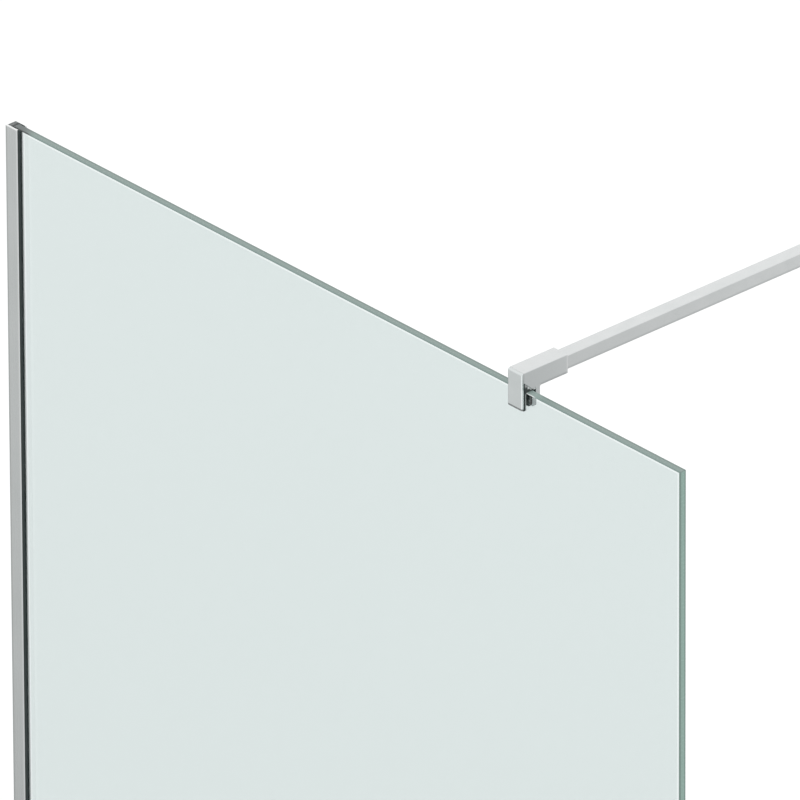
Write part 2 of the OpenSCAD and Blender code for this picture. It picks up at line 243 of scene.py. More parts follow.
def skinned(name: str, loops: Sequence[Sequence[Point3]]) -> bpy.types.Object:
    """Makes a closed solid of rings of points, with its faces pointing outwards.

    Args:
        name: The object's name.
        loops: The rings in order, each with the same number of points, in millimetres.

    Returns:
        The solid, in metres.
    """
    shape = bmesh.new()
    rings = [[shape.verts.new(point) for point in loop] for loop in loops]
    shape.faces.new(rings[0])
    shape.faces.new(rings[-1])
    for low, high in zip(rings, rings[1:]):
        for i in range(len(low)):
            j = (i + 1) % len(low)
            shape.faces.new((low[i], low[j], high[j], high[i]))
    bmesh.ops.scale(shape, vec=(MM, MM, MM), verts=shape.verts)
    bmesh.ops.recalc_face_normals(shape, faces=shape.faces)
    mesh = bpy.data.meshes.new(name)
    shape.to_mesh(mesh)
    shape.free()
    return link(name, mesh)


def prism(name: str, outline: Sequence[Point2], axis: Axis, start: float,
          length: float) -> bpy.types.Object:
    """Draws an outline out into a solid.

    Args:
        name: The object's name.
        outline: The outline's corners.
        axis: The direction that it is drawn out along.
        start: Where the solid starts along the axis.
        length: How long it is.

    Returns:
        The solid.
    """
    return skinned(name, [[place(axis, along, p) for p in outline]
                          for along in (start, start + length)])


def square_bar(name: str, side: float, corner: float, start: float, length: float,
               steps: int = 4) -> bpy.types.Object:
    """Draws a square about the arm's middle out along Y.

    Args:
        name: The object's name.
        side: The square's side.
        corner: Radius of its corners.
        start: Where the solid starts along Y.
        length: How long it is.
        steps: How many short edges each round has.

    Returns:
        The solid.
    """
    (x, z), half = LAYOUT.arm_axis, side / 2
    square = rectangle((x - half, z - half), (x + half, z + half))
    return prism(name, rounded(square, corner, steps), Axis.Y, start, length)


def turned(name: str, axis: Axis, centre: Point2, rings: Sequence[Point2],
           sides: int = 48) -> bpy.types.Object:
    """Makes a solid of round rings along an axis.

    Args:
        name: The object's name.
        axis: The direction of the solid's own axis.
        centre: Where that axis lies, in the two other directions.
        rings: Place along the axis and radius of each ring, in order.
        sides: How many edges each ring has. Six make a hexagon.

    Returns:
        The solid.
    """
    angles = [2 * math.pi * k / sides for k in range(sides)]
    return skinned(name, [[place(axis, along, (centre[0] + radius * math.cos(a),
                                               centre[1] + radius * math.sin(a)))
                           for a in angles] for along, radius in rings])


def pin(name: str, axis: Axis, centre: Point2, start: float, stop: float, radius: float,
        sides: int = 48) -> bpy.types.Object:
    """Makes a plain round or many-sided pin; turned() says what each value is."""
    return turned(name, axis, centre, [(start, radius), (stop, radius)], sides)


def hexagon(name: str, axis: Axis, centre: Point2, start: float, stop: float,
            flats: float) -> bpy.types.Object:
    """Makes a hexagonal pin of some width across its flats, as a key's socket is cut."""
    return pin(name, axis, centre, start, stop, flats / math.sqrt(3), sides=6)


def threaded(name: str, axis: Axis, centre: Point2, start: float, length: float,
             radius: float, pitch: float) -> bpy.types.Object:
    """Makes a screw's threaded shank, with a helical thread that runs out at both ends.

    Args:
        name: The object's name.
        axis: The direction of the screw's axis.
        centre: Where that axis lies, in the two other directions.
        start: Where the shank starts.
        length: Its length.
        radius: Its outer radius.
        pitch: The thread's pitch.

    Returns:
        The shank as a closed solid.
    """
    sides, rows_per_turn, thread_share, run_out = 32, 8, 0.45, 0.45
    rows = max(rows_per_turn, round(rows_per_turn * length / pitch))
    loops = []
    for j in range(rows + 1):
        along = length * j / rows
        fade = min(1.0, along / pitch, (length - along) / pitch)
        loop = []
        for k in range(sides):
            phase = (along / pitch - k / sides) % 1.0
            crest = 1 - abs(2 * phase - 1)
            depth = thread_share * pitch * (1 - fade * crest)
            r = radius - depth * (1 - run_out * (1 - fade))
            angle = 2 * math.pi * k / sides
            spot = (centre[0] + r * math.cos(angle), centre[1] + r * math.sin(angle))
            loop.append(place(axis, start + along, spot))
        loops.append(loop)
    return skinned(name, loops)


def bevel(o: bpy.types.Object, width: float, segments: int = 3,
          angle: float = 50.0) -> bpy.types.Object:
    """Adds a rounding of the sharp edges to an object.

    Args:
        o: The object.
        width: Width of the rounding, in millimetres.
        segments: How many faces it has.
        angle: Edges sharper than this many degrees are rounded.

    Returns:
        The same object.
    """
    m = o.modifiers.new("edges", "BEVEL")
    m.width, m.segments = width * MM, segments
    m.limit_method, m.angle_limit = "ANGLE", math.radians(angle)
    m.use_clamp_overlap = True
    return o


def baked(o: bpy.types.Object, name: str) -> bpy.types.Object:
    """Turns an object with modifiers into one with a plain mesh.

    Args:
        o: The object, which is removed.
        name: Name of the new object.

    Returns:
        The new object.
    """
    bpy.context.view_layer.update()
    graph = bpy.context.evaluated_depsgraph_get()
    mesh = bpy.data.meshes.new_from_object(o.evaluated_get(graph),
                                           preserve_all_data_layers=True, depsgraph=graph)
    drop([o])
    mesh.name = name
    return link(name, mesh)


def shaded(o: bpy.types.Object, name: str) -> bpy.types.Object:
    """Smooths a mesh where its faces meet gently and keeps its flat faces flat.

    Args:
        o: The object, which is removed.
        name: Name of the new object.

    Returns:
        The finished object.
    """
    o.data.shade_smooth()
    o.data.set_sharp_from_angle(angle=math.radians(SHARP_FROM))
    m = o.modifiers.new("normals", "WEIGHTED_NORMAL")
    m.keep_sharp, m.weight = True, 80
    return baked(o, name)


def machined(name: str, blank: bpy.types.Object, cuts: Sequence[bpy.types.Object] = (),
             joined: Sequence[bpy.types.Object] = ()) -> bpy.types.Object:
    """Joins and cuts solids as a milled piece is made.

    Args:
        name: Name of the finished piece.
        blank: The solid to start from.
        cuts: Solids that are taken out of it.
        joined: Solids that are joined to it first.

    Returns:
        The finished piece. The other solids are removed.
    """
    for kind, others in (("UNION", joined), ("DIFFERENCE", cuts)):
        for other in others:
            m = blank.modifiers.new(kind.lower(), "BOOLEAN")
            m.operation, m.solver, m.object = kind, "EXACT", other
    piece = baked(blank, name + "_raw")
    drop([*cuts, *joined])
    return shaded(piece, name)


def dress(o: bpy.types.Object, finish: bpy.types.Material, body: Body,
          node: str) -> None:
    """Gives a piece its material and its body, and hides the CAD node it stands for.

    Args:
        o: The piece.
        finish: Its material.
        body: The body that it rides on.
        node: The CAD node that it replaces.
    """
    if not o.data.materials:
        o.data.materials.append(finish)
    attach(o, body.value)
    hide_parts(node)
    log.info("%s rides on %s, %d faces", o.name, body.value, len(o.data.polygons))


def dress_node(node: str, finish: bpy.types.Material) -> None:
    """Gives a CAD node that stays its material.

    Args:
        node: The node's name.
        finish: Its material.
    """
    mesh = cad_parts[node].data
    mesh.materials.clear()
    mesh.materials.append(finish)
    log.info("%s keeps its solid", node)


# Node trees

class Nodes:
    """A node tree under construction."""

    prefix = "ShaderNode"

    def __init__(self, tree: bpy.types.NodeTree) -> None:
        """Starts with a tree."""
        self.tree = tree

    def feed(self, socket: bpy.types.NodeSocket, value: object) -> None:
        """Links an input or sets its value.

        Args:
            socket: The input.
            value: Another socket, a colour or a plain value.
        """
        if isinstance(value, bpy.types.NodeSocket):
            self.tree.links.new(value, socket)
        elif socket.type == "RGBA":
            socket.default_value = (*value, 1)
        else:
            socket.default_value = value

    def add(self, kind: str, setting: dict[str, object] | None = None,
            inputs: dict[str | int, object] | None = None) -> bpy.types.Node:
        """Adds a node.

        Args:
            kind: Its type, without the prefix.
            setting: Its properties.
            inputs: A value or a socket for each input, by name or number.

        Returns:
            The node.
        """
        made = self.tree.nodes.new(self.prefix + kind)
        for key, value in (setting or {}).items():
            setattr(made, key, value)
        for key, value in (inputs or {}).items():
            self.feed(made.inputs[key], value)
        return made

    def new_inputs(self, kinds: dict[str, str]) -> dict[str, object]:
        """Gives the tree inputs.

        Args:
            kinds: Kind of each input.

        Returns:
            The new interface sockets, by name.
        """
        return {key: self.tree.interface.new_socket(key, in_out="INPUT",
                                                    socket_type="NodeSocket" + kind)
                for key, kind in kinds.items()}

    def new_outputs(self, kinds: dict[str, str]) -> None:
        """Gives the tree outputs, with the kind of each."""
        for key, kind in kinds.items():
            self.tree.interface.new_socket(key, in_out="OUTPUT",
                                           socket_type="NodeSocket" + kind)


class Recipe(Nodes):
    """A geometry tree with named inputs, built node by node."""

    prefix = "GeometryNode"

    def __init__(self, name: str, inputs: dict[str, str]) -> None:
        """Starts the tree.

        Args:
            name: The tree's name.
            inputs: Kind of each input besides Finish.
        """
        super().__init__(bpy.data.node_groups.new(name, "GeometryNodeTree"))
        self.new_outputs({"Geometry": "Geometry"})
        faces = self.new_inputs({**inputs, "Finish": "Material"})
        self.keys = {key: face.identifier for key, face in faces.items()}
        self.given = self.tree.nodes.new("NodeGroupInput").outputs

    def drawn(self) -> bpy.types.NodeSocket:
        """Draws the input Section out from the input From to the input To.

        Returns:
            The solid's socket.
        """
        section = self.add("ObjectInfo", None, {"Object": self.given["Section"]})
        line = self.add("CurvePrimitiveLine", None, {"Start": self.given["From"],
                                                     "End": self.given["To"]})
        return self.add("CurveToMesh", None, {
            "Curve": line.outputs[0], "Profile Curve": section.outputs["Geometry"],
            "Fill Caps": True}).outputs[0]

    def in_a_row(self, piece: bpy.types.NodeSocket,
                 turn: Point3 = (0.0, 0.0, 0.0)) -> bpy.types.NodeSocket:
        """Sets copies in a straight row, as the inputs Count, First and Step say.

        Args:
            piece: What is copied.
            turn: How each copy is turned, in radians.

        Returns:
            The socket of the copies.
        """
        row = self.add("MeshLine", {"mode": "OFFSET"}, {
            "Count": self.given["Count"], "Start Location": self.given["First"],
            "Offset": self.given["Step"]})
        return self.add("InstanceOnPoints", None, {
            "Points": row.outputs[0], "Instance": piece, "Rotation": turn}).outputs[0]

    def end(self, geometry: bpy.types.NodeSocket) -> None:
        """Realizes the instances, sets the material and closes the tree.

        Args:
            geometry: The socket with the shape.
        """
        real = self.add("RealizeInstances", None, {"Geometry": geometry})
        dressed = self.add("SetMaterial", None, {"Geometry": real.outputs[0],
                                                 "Material": self.given["Finish"]})
        out = self.tree.nodes.new("NodeGroupOutput")
        self.feed(out.inputs[0], dressed.outputs[0])

    def run(self, name: str, **values: object) -> bpy.types.Object:
        """Makes a plain mesh from the tree.

        Args:
            name: The new object's name.
            **values: A value for each input.

        Returns:
            The object.
        """
        carrier = link(name + "_carrier", bpy.data.meshes.new(name))
        m = carrier.modifiers.new("shape", "NODES")
        m.node_group = self.tree
        for key, value in values.items():
            m[self.keys[key]] = value
        return baked(carrier, name)


def section_curve(outline: Sequence[Point2], axis: Axis) -> bpy.types.Object:
    """Draws a closed section as a flat curve that a sweep along an axis reads.

    Args:
        outline: The section, in the order X, Y, Z of its two directions.
        axis: The direction of the sweep.

    Returns:
        The curve object.
    """
    signs = {Axis.X: (-1, -1), Axis.Y: (1, -1), Axis.Z: (1, 1)}[axis]
    flat = [(p[0] * signs[0] * MM, p[1] * signs[1] * MM) for p in outline]
    if area_of(flat) < 0:
        flat.reverse()
    curve = bpy.data.curves.new("section", "CURVE")
    curve.dimensions = "3D"
    spline = curve.splines.new("POLY")
    spline.points.add(len(flat) - 1)
    for point, (u, v) in zip(spline.points, flat):
        point.co = (u, v, 0, 1)
    spline.use_cyclic_u = True
    return link("section", curve)


SWEEP = {"Section": "Object", "From": "Vector", "To": "Vector"}
ROW = {"Count": "Int", "First": "Vector", "Step": "Vector"}


def sweep_recipe() -> Recipe:
    """Makes the tree that draws a section out along a straight line.

    Returns:
        The tree, with inputs Section, From, To and Finish.
    """
    made = Recipe("drawn_profile", SWEEP)
    made.end(made.drawn())
    return made


def bored_recipe() -> Recipe:
    """Makes the tree that draws a section out and bores a row of holes along X through it.

    Returns:
        The tree, with inputs Section, From, To, Count, First, Step, Radius, Depth, Finish.
    """
    made = Recipe("bored_profile", {**SWEEP, **ROW, "Radius": "Float", "Depth": "Float"})
    drill = made.add("MeshCylinder", None, {"Vertices": 32, "Radius": made.given["Radius"],
                                            "Depth": made.given["Depth"]})
    drills = made.in_a_row(drill.outputs[0], turn=(0.0, math.pi / 2, 0.0))
    real = made.add("RealizeInstances", None, {"Geometry": drills})
    cut = made.add("MeshBoolean", {"operation": "DIFFERENCE", "solver": "EXACT"},
                   {0: made.drawn(), 1: real.outputs[0]})
    made.end(cut.outputs[0])
    return made


def row_recipe() -> Recipe:
    """Makes the tree that sets copies of a piece in a straight row.

    Returns:
        The tree, with inputs Piece, Count, First, Step and Finish.
    """
    made = Recipe("row_of_pieces", {"Piece": "Object", **ROW})
    piece = made.add("ObjectInfo", None, {"Object": made.given["Piece"], "As Instance": True})
    made.end(made.in_a_row(piece.outputs["Geometry"]))
    return made


# Shader groups and the finishes

class Shading(Nodes):
    """A shader tree under construction."""

    def reckon(self, operation: str, first: object, second: object = 0.0,
               clamp: bool = False) -> bpy.types.NodeSocket:
        """Works out a value from two values or sockets.

        Args:
            operation: The Math node's operation.
            first: The first value.
            second: The second value.
            clamp: True to keep the result between 0 and 1.

        Returns:
            The result's socket.
        """
        return self.add("Math", {"operation": operation, "use_clamp": clamp},
                        {0: first, 1: second}).outputs[0]

    def ramp(self, value: object, start: object, stop: object, low: object = 0.0,
             high: object = 1.0, soft: bool = False) -> bpy.types.NodeSocket:
        """Turns one range of values into another and keeps to its ends.

        Args:
            value: The value's socket.
            start: The value that gives the low end.
            stop: The value that gives the high end.
            low: The low end.
            high: The high end.
            soft: True to ease in and out.

        Returns:
            The result's socket.
        """
        return self.add("MapRange", {"interpolation_type": "SMOOTHSTEP" if soft else "LINEAR"},
                        {"Value": value, "From Min": start, "From Max": stop, "To Min": low,
                         "To Max": high}).outputs[0]


def noise_group(name: str, detail: float, roughness: float,
                distortion: float = 0.0) -> bpy.types.NodeTree:
    """Makes a shader group of noise, with a mask of stronger contrast.

    Args:
        name: The group's name.
        detail: How many finer layers the noise has.
        roughness: How strong they are.
        distortion: How far the noise is warped.

    Returns:
        The group, with inputs Vector, Across, Scale and Spread and outputs Height and
        Mask. A small part of Across draws the noise out into lines along that axis.
    """
    group = Shading(bpy.data.node_groups.new(name, "ShaderNodeTree"))
    faces = group.new_inputs({"Vector": "Vector", "Across": "Vector", "Scale": "Float",
                              "Spread": "Float"})
    faces["Across"].default_value = (1, 1, 1)
    faces["Spread"].default_value = 0.2
    group.new_outputs({"Height": "Float", "Mask": "Float"})
    given = group.tree.nodes.new("NodeGroupInput").outputs
    out = group.tree.nodes.new("NodeGroupOutput").inputs
    drawn = group.add("VectorMath", {"operation": "MULTIPLY"},
                      {0: given["Vector"], 1: given["Across"]})
    noise = group.add("TexNoise", None, {
        "Vector": drawn.outputs[0], "Scale": given["Scale"], "Detail": detail,
        "Roughness": roughness, "Distortion": distortion}).outputs[0]
    middle = 0.5
    ends = [group.reckon(side, middle, given["Spread"]) for side in ("SUBTRACT", "ADD")]
    group.feed(out["Height"], noise)
    group.feed(out["Mask"], group.ramp(noise, *ends))
    return group.tree


class Effects:
    """The three shared shader groups, built once."""

    def __init__(self) -> None:
        """Builds an even fine grain, lines as a die draws them and soft handled patches."""
        self.grain = noise_group("fine_grain", detail=3.0, roughness=0.6)
        self.lines = noise_group("drawn_lines", detail=4.0, roughness=0.65)
        self.patches = noise_group("handled_patches", detail=5.0, roughness=0.55,
                                   distortion=0.6)


EFFECTS = Effects()


def beside(spot: float, *steps: float) -> tuple[float, ...]:
    """Gives the places at some steps from one spot."""
    return tuple(spot + step for step in steps)


@dataclass(frozen=True)
class Zone:
    """A part of a surface with painted light or shade, where all its spans overlap.

    A span has two places along its axis, where the zone fades in and where it is full,
    and two more where it starts to fade out again and where it is gone. Places are in
    millimetres from the wall, from the glass's middle and from the tray. An upright zone
    leaves level faces alone.
    """

    shade: Colour
    x: tuple[float, ...] = ()
    y: tuple[float, ...] = ()
    z: tuple[float, ...] = ()
    upright: bool = False

    def ramps(self) -> Iterator[tuple[Axis, float, float]]:
        """Gives the axis of each ramp, where it starts and where it is full."""
        for axis, places in zip(Axis, (self.x, self.y, self.z)):
            if places:
                yield axis, places[0], places[1]
            if len(places) == 4:
                yield axis, places[3], places[2]


class Paint(Shading):
    """A material under construction: a Principled shader and the nodes that feed it."""

    def __init__(self, name: str) -> None:
        """Starts a material.

        Args:
            name: The material's name.
        """
        self.material = bpy.data.materials.new(name)
        self.material.use_nodes = True
        super().__init__(self.material.node_tree)
        self.shader = self.tree.nodes["Principled BSDF"]
        places = self.add("TexCoord").outputs
        self.coordinates, self.facing = places["Object"], places["Normal"]

    def effect(self, tree: bpy.types.NodeTree,
               **inputs: object) -> bpy.types.bpy_prop_collection:
        """Places a shared group, which reads the object's coordinates.

        Args:
            tree: The group.
            **inputs: Its values.

        Returns:
            Its outputs.
        """
        return self.add("Group", {"node_tree": tree},
                        {"Vector": self.coordinates, **inputs}).outputs

    def split(self, vector: bpy.types.NodeSocket) -> bpy.types.bpy_prop_collection:
        """Splits a vector into its three parts."""
        return self.add("SeparateXYZ", None, {0: vector}).outputs

    def between(self, mask: object, low: object, high: object) -> bpy.types.NodeSocket:
        """Turns a mask from 0 to 1 into values from low to high and returns the socket."""
        return self.ramp(mask, 0.0, 1.0, low, high)

    def blend(self, mask: bpy.types.NodeSocket, dark: Colour | bpy.types.NodeSocket,
              light: Colour | bpy.types.NodeSocket) -> bpy.types.NodeSocket:
        """Mixes two colours by a mask.

        Args:
            mask: The mask's socket.
            dark: The colour, or its socket, where the mask is 0.
            light: The colour, or its socket, where the mask is 1.

        Returns:
            The mixed colour's socket.
        """
        # A Mix node has its colours at the inputs 6 and 7 and at the output 2
        return self.add("Mix", {"data_type": "RGBA"}, {0: mask, 6: dark, 7: light}).outputs[2]

    def zoned(self, skin: bpy.types.NodeSocket,
              zones: Iterable[Zone]) -> bpy.types.NodeSocket:
        """Lays zones of painted light and shade over a skin.

        Args:
            skin: The skin's colour.
            zones: The zones, the last on top.

        Returns:
            The colour's socket.
        """
        for zone in zones:
            places = self.split(self.coordinates)
            mask, *others = [self.ramp(places[axis.value], start * MM, stop * MM, soft=True)
                             for axis, start, stop in zone.ramps()]
            for other in others:
                mask = self.reckon("MULTIPLY", mask, other)
            if zone.upright:
                tilt = self.reckon("ABSOLUTE", self.split(self.facing)[Axis.Z.value])
                level = self.reckon("GREATER_THAN", tilt, 0.5)
                mask = self.reckon("SUBTRACT", mask, level, clamp=True)
            skin = self.blend(mask, skin, zone.shade)
        return skin

    def set(self, **values: object) -> None:
        """Sets or links the shader's sockets.

        Args:
            **values: A value or a socket for each, with underscores for spaces.
        """
        for key, value in values.items():
            self.feed(self.shader.inputs[key.replace("_", " ")], value)

    def bump(self, height: bpy.types.NodeSocket, strength: float, depth: float) -> None:
        """Feeds a height into the shader's normal.

        Args:
            height: The height's socket.
            strength: Strength of the bump.
            depth: Its depth, in millimetres.
        """
        self.set(Normal=self.add("Bump", None, {
            "Height": height, "Strength": strength, "Distance": depth * MM}).outputs[0])

    def mixed(self, mask: bpy.types.NodeSocket, first: bpy.types.NodeSocket,
              second: bpy.types.NodeSocket) -> None:
        """Makes the surface of two shaders mixed by a mask.

        Args:
            mask: The mask.
            first: The shader where the mask is 0.
            second: The shader where it is 1.
        """
        mix = self.add("MixShader", None, {0: mask, 1: first, 2: second})
        self.feed(self.tree.nodes["Material Output"].inputs["Surface"], mix.outputs[0])


@dataclass(frozen=True)
class Finish:
    """What every finish has: a name, zones, and the ends of its colour and roughness."""

    name: str
    zones: tuple[Zone, ...] = ()
    dark: Colour = (0.665, 0.685, 0.685)
    light: Colour = (0.71, 0.725, 0.725)
    smooth: float = 0.20
    dull: float = 0.27

    def skin(self, paint: Paint, mask: bpy.types.NodeSocket) -> bpy.types.NodeSocket:
        """Varies the colour by a mask and lays the zones over it."""
        return paint.zoned(paint.blend(mask, self.dark, self.light), self.zones)


@dataclass(frozen=True)
class SatinMetal(Finish):
    """Soft polished plating, as on the clamp, the arm and the wall bracket."""

    def build(self) -> bpy.types.Material:
        """Builds the material: cloudy handling marks over a very fine grain."""
        paint = Paint(self.name)
        patches = paint.effect(EFFECTS.patches, Scale=38.0, Spread=0.22)["Mask"]
        grain = paint.effect(EFFECTS.grain, Scale=2600.0)
        paint.set(Base_Color=self.skin(paint, patches), Metallic=1.0,
                  Roughness=paint.between(patches, self.dull, self.smooth))
        paint.bump(grain["Height"], strength=0.10, depth=0.02)
        return paint.material


@dataclass(frozen=True)
class DrawnAluminium(Finish):
    """Bright anodised profile with faint lines along it and a pale sawn end with a painted
    highlight.
    """

    dark: Colour = (0.60, 0.625, 0.62)
    light: Colour = (0.65, 0.67, 0.665)
    smooth: float = 0.24
    dull: float = 0.33
    across: Point3 = (1.0, 1.0, 0.004)

    def build(self) -> bpy.types.Material:
        """Builds the material: die lines along Z and a cloudy anodised skin."""
        paint = Paint(self.name)
        lines = paint.effect(EFFECTS.lines, Across=self.across, Scale=2200.0)
        patches = paint.effect(EFFECTS.patches, Scale=9.0, Spread=0.25)["Mask"]
        paint.set(Base_Color=self.skin(paint, patches), Metallic=1.0,
                  Roughness=paint.between(lines["Mask"], self.smooth, self.dull))
        paint.bump(lines["Height"], strength=0.12, depth=0.03)
        return paint.material


@dataclass(frozen=True)
class ScrewSteel(Finish):
    """Dark zinc plated steel of the screws and washers."""

    name: str = "screw_steel"
    dark: Colour = (0.24, 0.25, 0.26)
    light: Colour = (0.38, 0.39, 0.40)
    smooth: float = 0.28
    dull: float = 0.42

    def build(self) -> bpy.types.Material:
        """Builds the material: a mottled plating."""
        paint = Paint(self.name)
        grain = paint.effect(EFFECTS.grain, Scale=1400.0)
        paint.set(Base_Color=self.skin(paint, grain["Mask"]), Metallic=1.0,
                  Roughness=paint.between(grain["Mask"], self.dull, self.smooth))
        paint.bump(grain["Height"], strength=0.2, depth=0.02)
        return paint.material


@dataclass(frozen=True)
class MouldedPlastic(Finish):
    """Plastic with a fine grain and slightly polished patches."""

    dark: Colour = (0.13, 0.14, 0.14)
    light: Colour = (0.17, 0.18, 0.18)
    smooth: float = 0.42
    dull: float = 0.55
    grain_scale: float = 1200.0
    depth: float = 0.03
    shine: float = 0.5

    def build(self) -> bpy.types.Material:
        """Builds the material: grain in the bump and patches in colour and roughness."""
        paint = Paint(self.name)
        grain = paint.effect(EFFECTS.grain, Scale=self.grain_scale)
        patches = paint.effect(EFFECTS.patches, Scale=30.0, Spread=0.25)["Mask"]
        paint.set(Base_Color=self.skin(paint, patches), Specular_IOR_Level=self.shine,
                  Roughness=paint.between(patches, self.dull, self.smooth))
        paint.bump(grain["Height"], strength=0.35, depth=self.depth)
        return paint.material


@dataclass(frozen=True)
class BlackRubber(MouldedPlastic):
    """Black rubber, with a finer and deeper grain and less shine than the plastic."""

    dark: Colour = (0.015, 0.026, 0.025)
    light: Colour = (0.022, 0.034, 0.034)
    smooth: float = 0.5
    dull: float = 0.62
    grain_scale: float = 1800.0
    depth: float = 0.04
    shine: float = 0.4


@dataclass(frozen=True)
class ClearSolid(Finish):
    """Clear glass or vinyl that lets lamps through to what lies behind it."""

    smooth: float = 0.0
    shadow: Colour = (0.80, 0.85, 0.84)
    ior: float = 1.5

    def build(self) -> bpy.types.Material:
        """Builds the material: a tinted body whose shadow is as pale as the real one's."""
        paint = Paint(self.name)
        patches = paint.effect(EFFECTS.patches, Scale=2.2, Spread=0.3)["Mask"]
        paint.set(Base_Color=self.skin(paint, patches), Roughness=self.smooth,
                  IOR=self.ior, Transmission_Weight=1.0)
        clear = paint.add("BsdfTransparent", None, {"Color": self.shadow})
        paint.mixed(paint.add("LightPath").outputs["Is Shadow Ray"],
                    paint.shader.outputs[0], clear.outputs[0])
        return paint.material


@dataclass(frozen=True)
class GroundEdge(Finish):
    """A ground edge of the glass, green from the glass behind it, with painted shade at its
    rims.
    """

    smooth: float = 0.18
    dull: float = 0.32
    rim_from: float = 2.5
    rim_to: float = 1.7
    ior: float = 1.5

    def build(self) -> bpy.types.Material:
        """Builds the material, with painted shade beside the arrises."""
        paint = Paint(self.name)
        off_middle = paint.reckon("ABSOLUTE", paint.split(paint.coordinates)[Axis.Y.value])
        inner = paint.ramp(off_middle, self.rim_from * MM, self.rim_to * MM, soft=True)
        grain = paint.effect(EFFECTS.grain, Scale=420.0)
        paint.set(Base_Color=self.skin(paint, inner), IOR=self.ior,
                  Roughness=paint.between(grain["Mask"], self.smooth, self.dull))
        paint.bump(grain["Height"], strength=0.1, depth=0.03)
        return paint.material


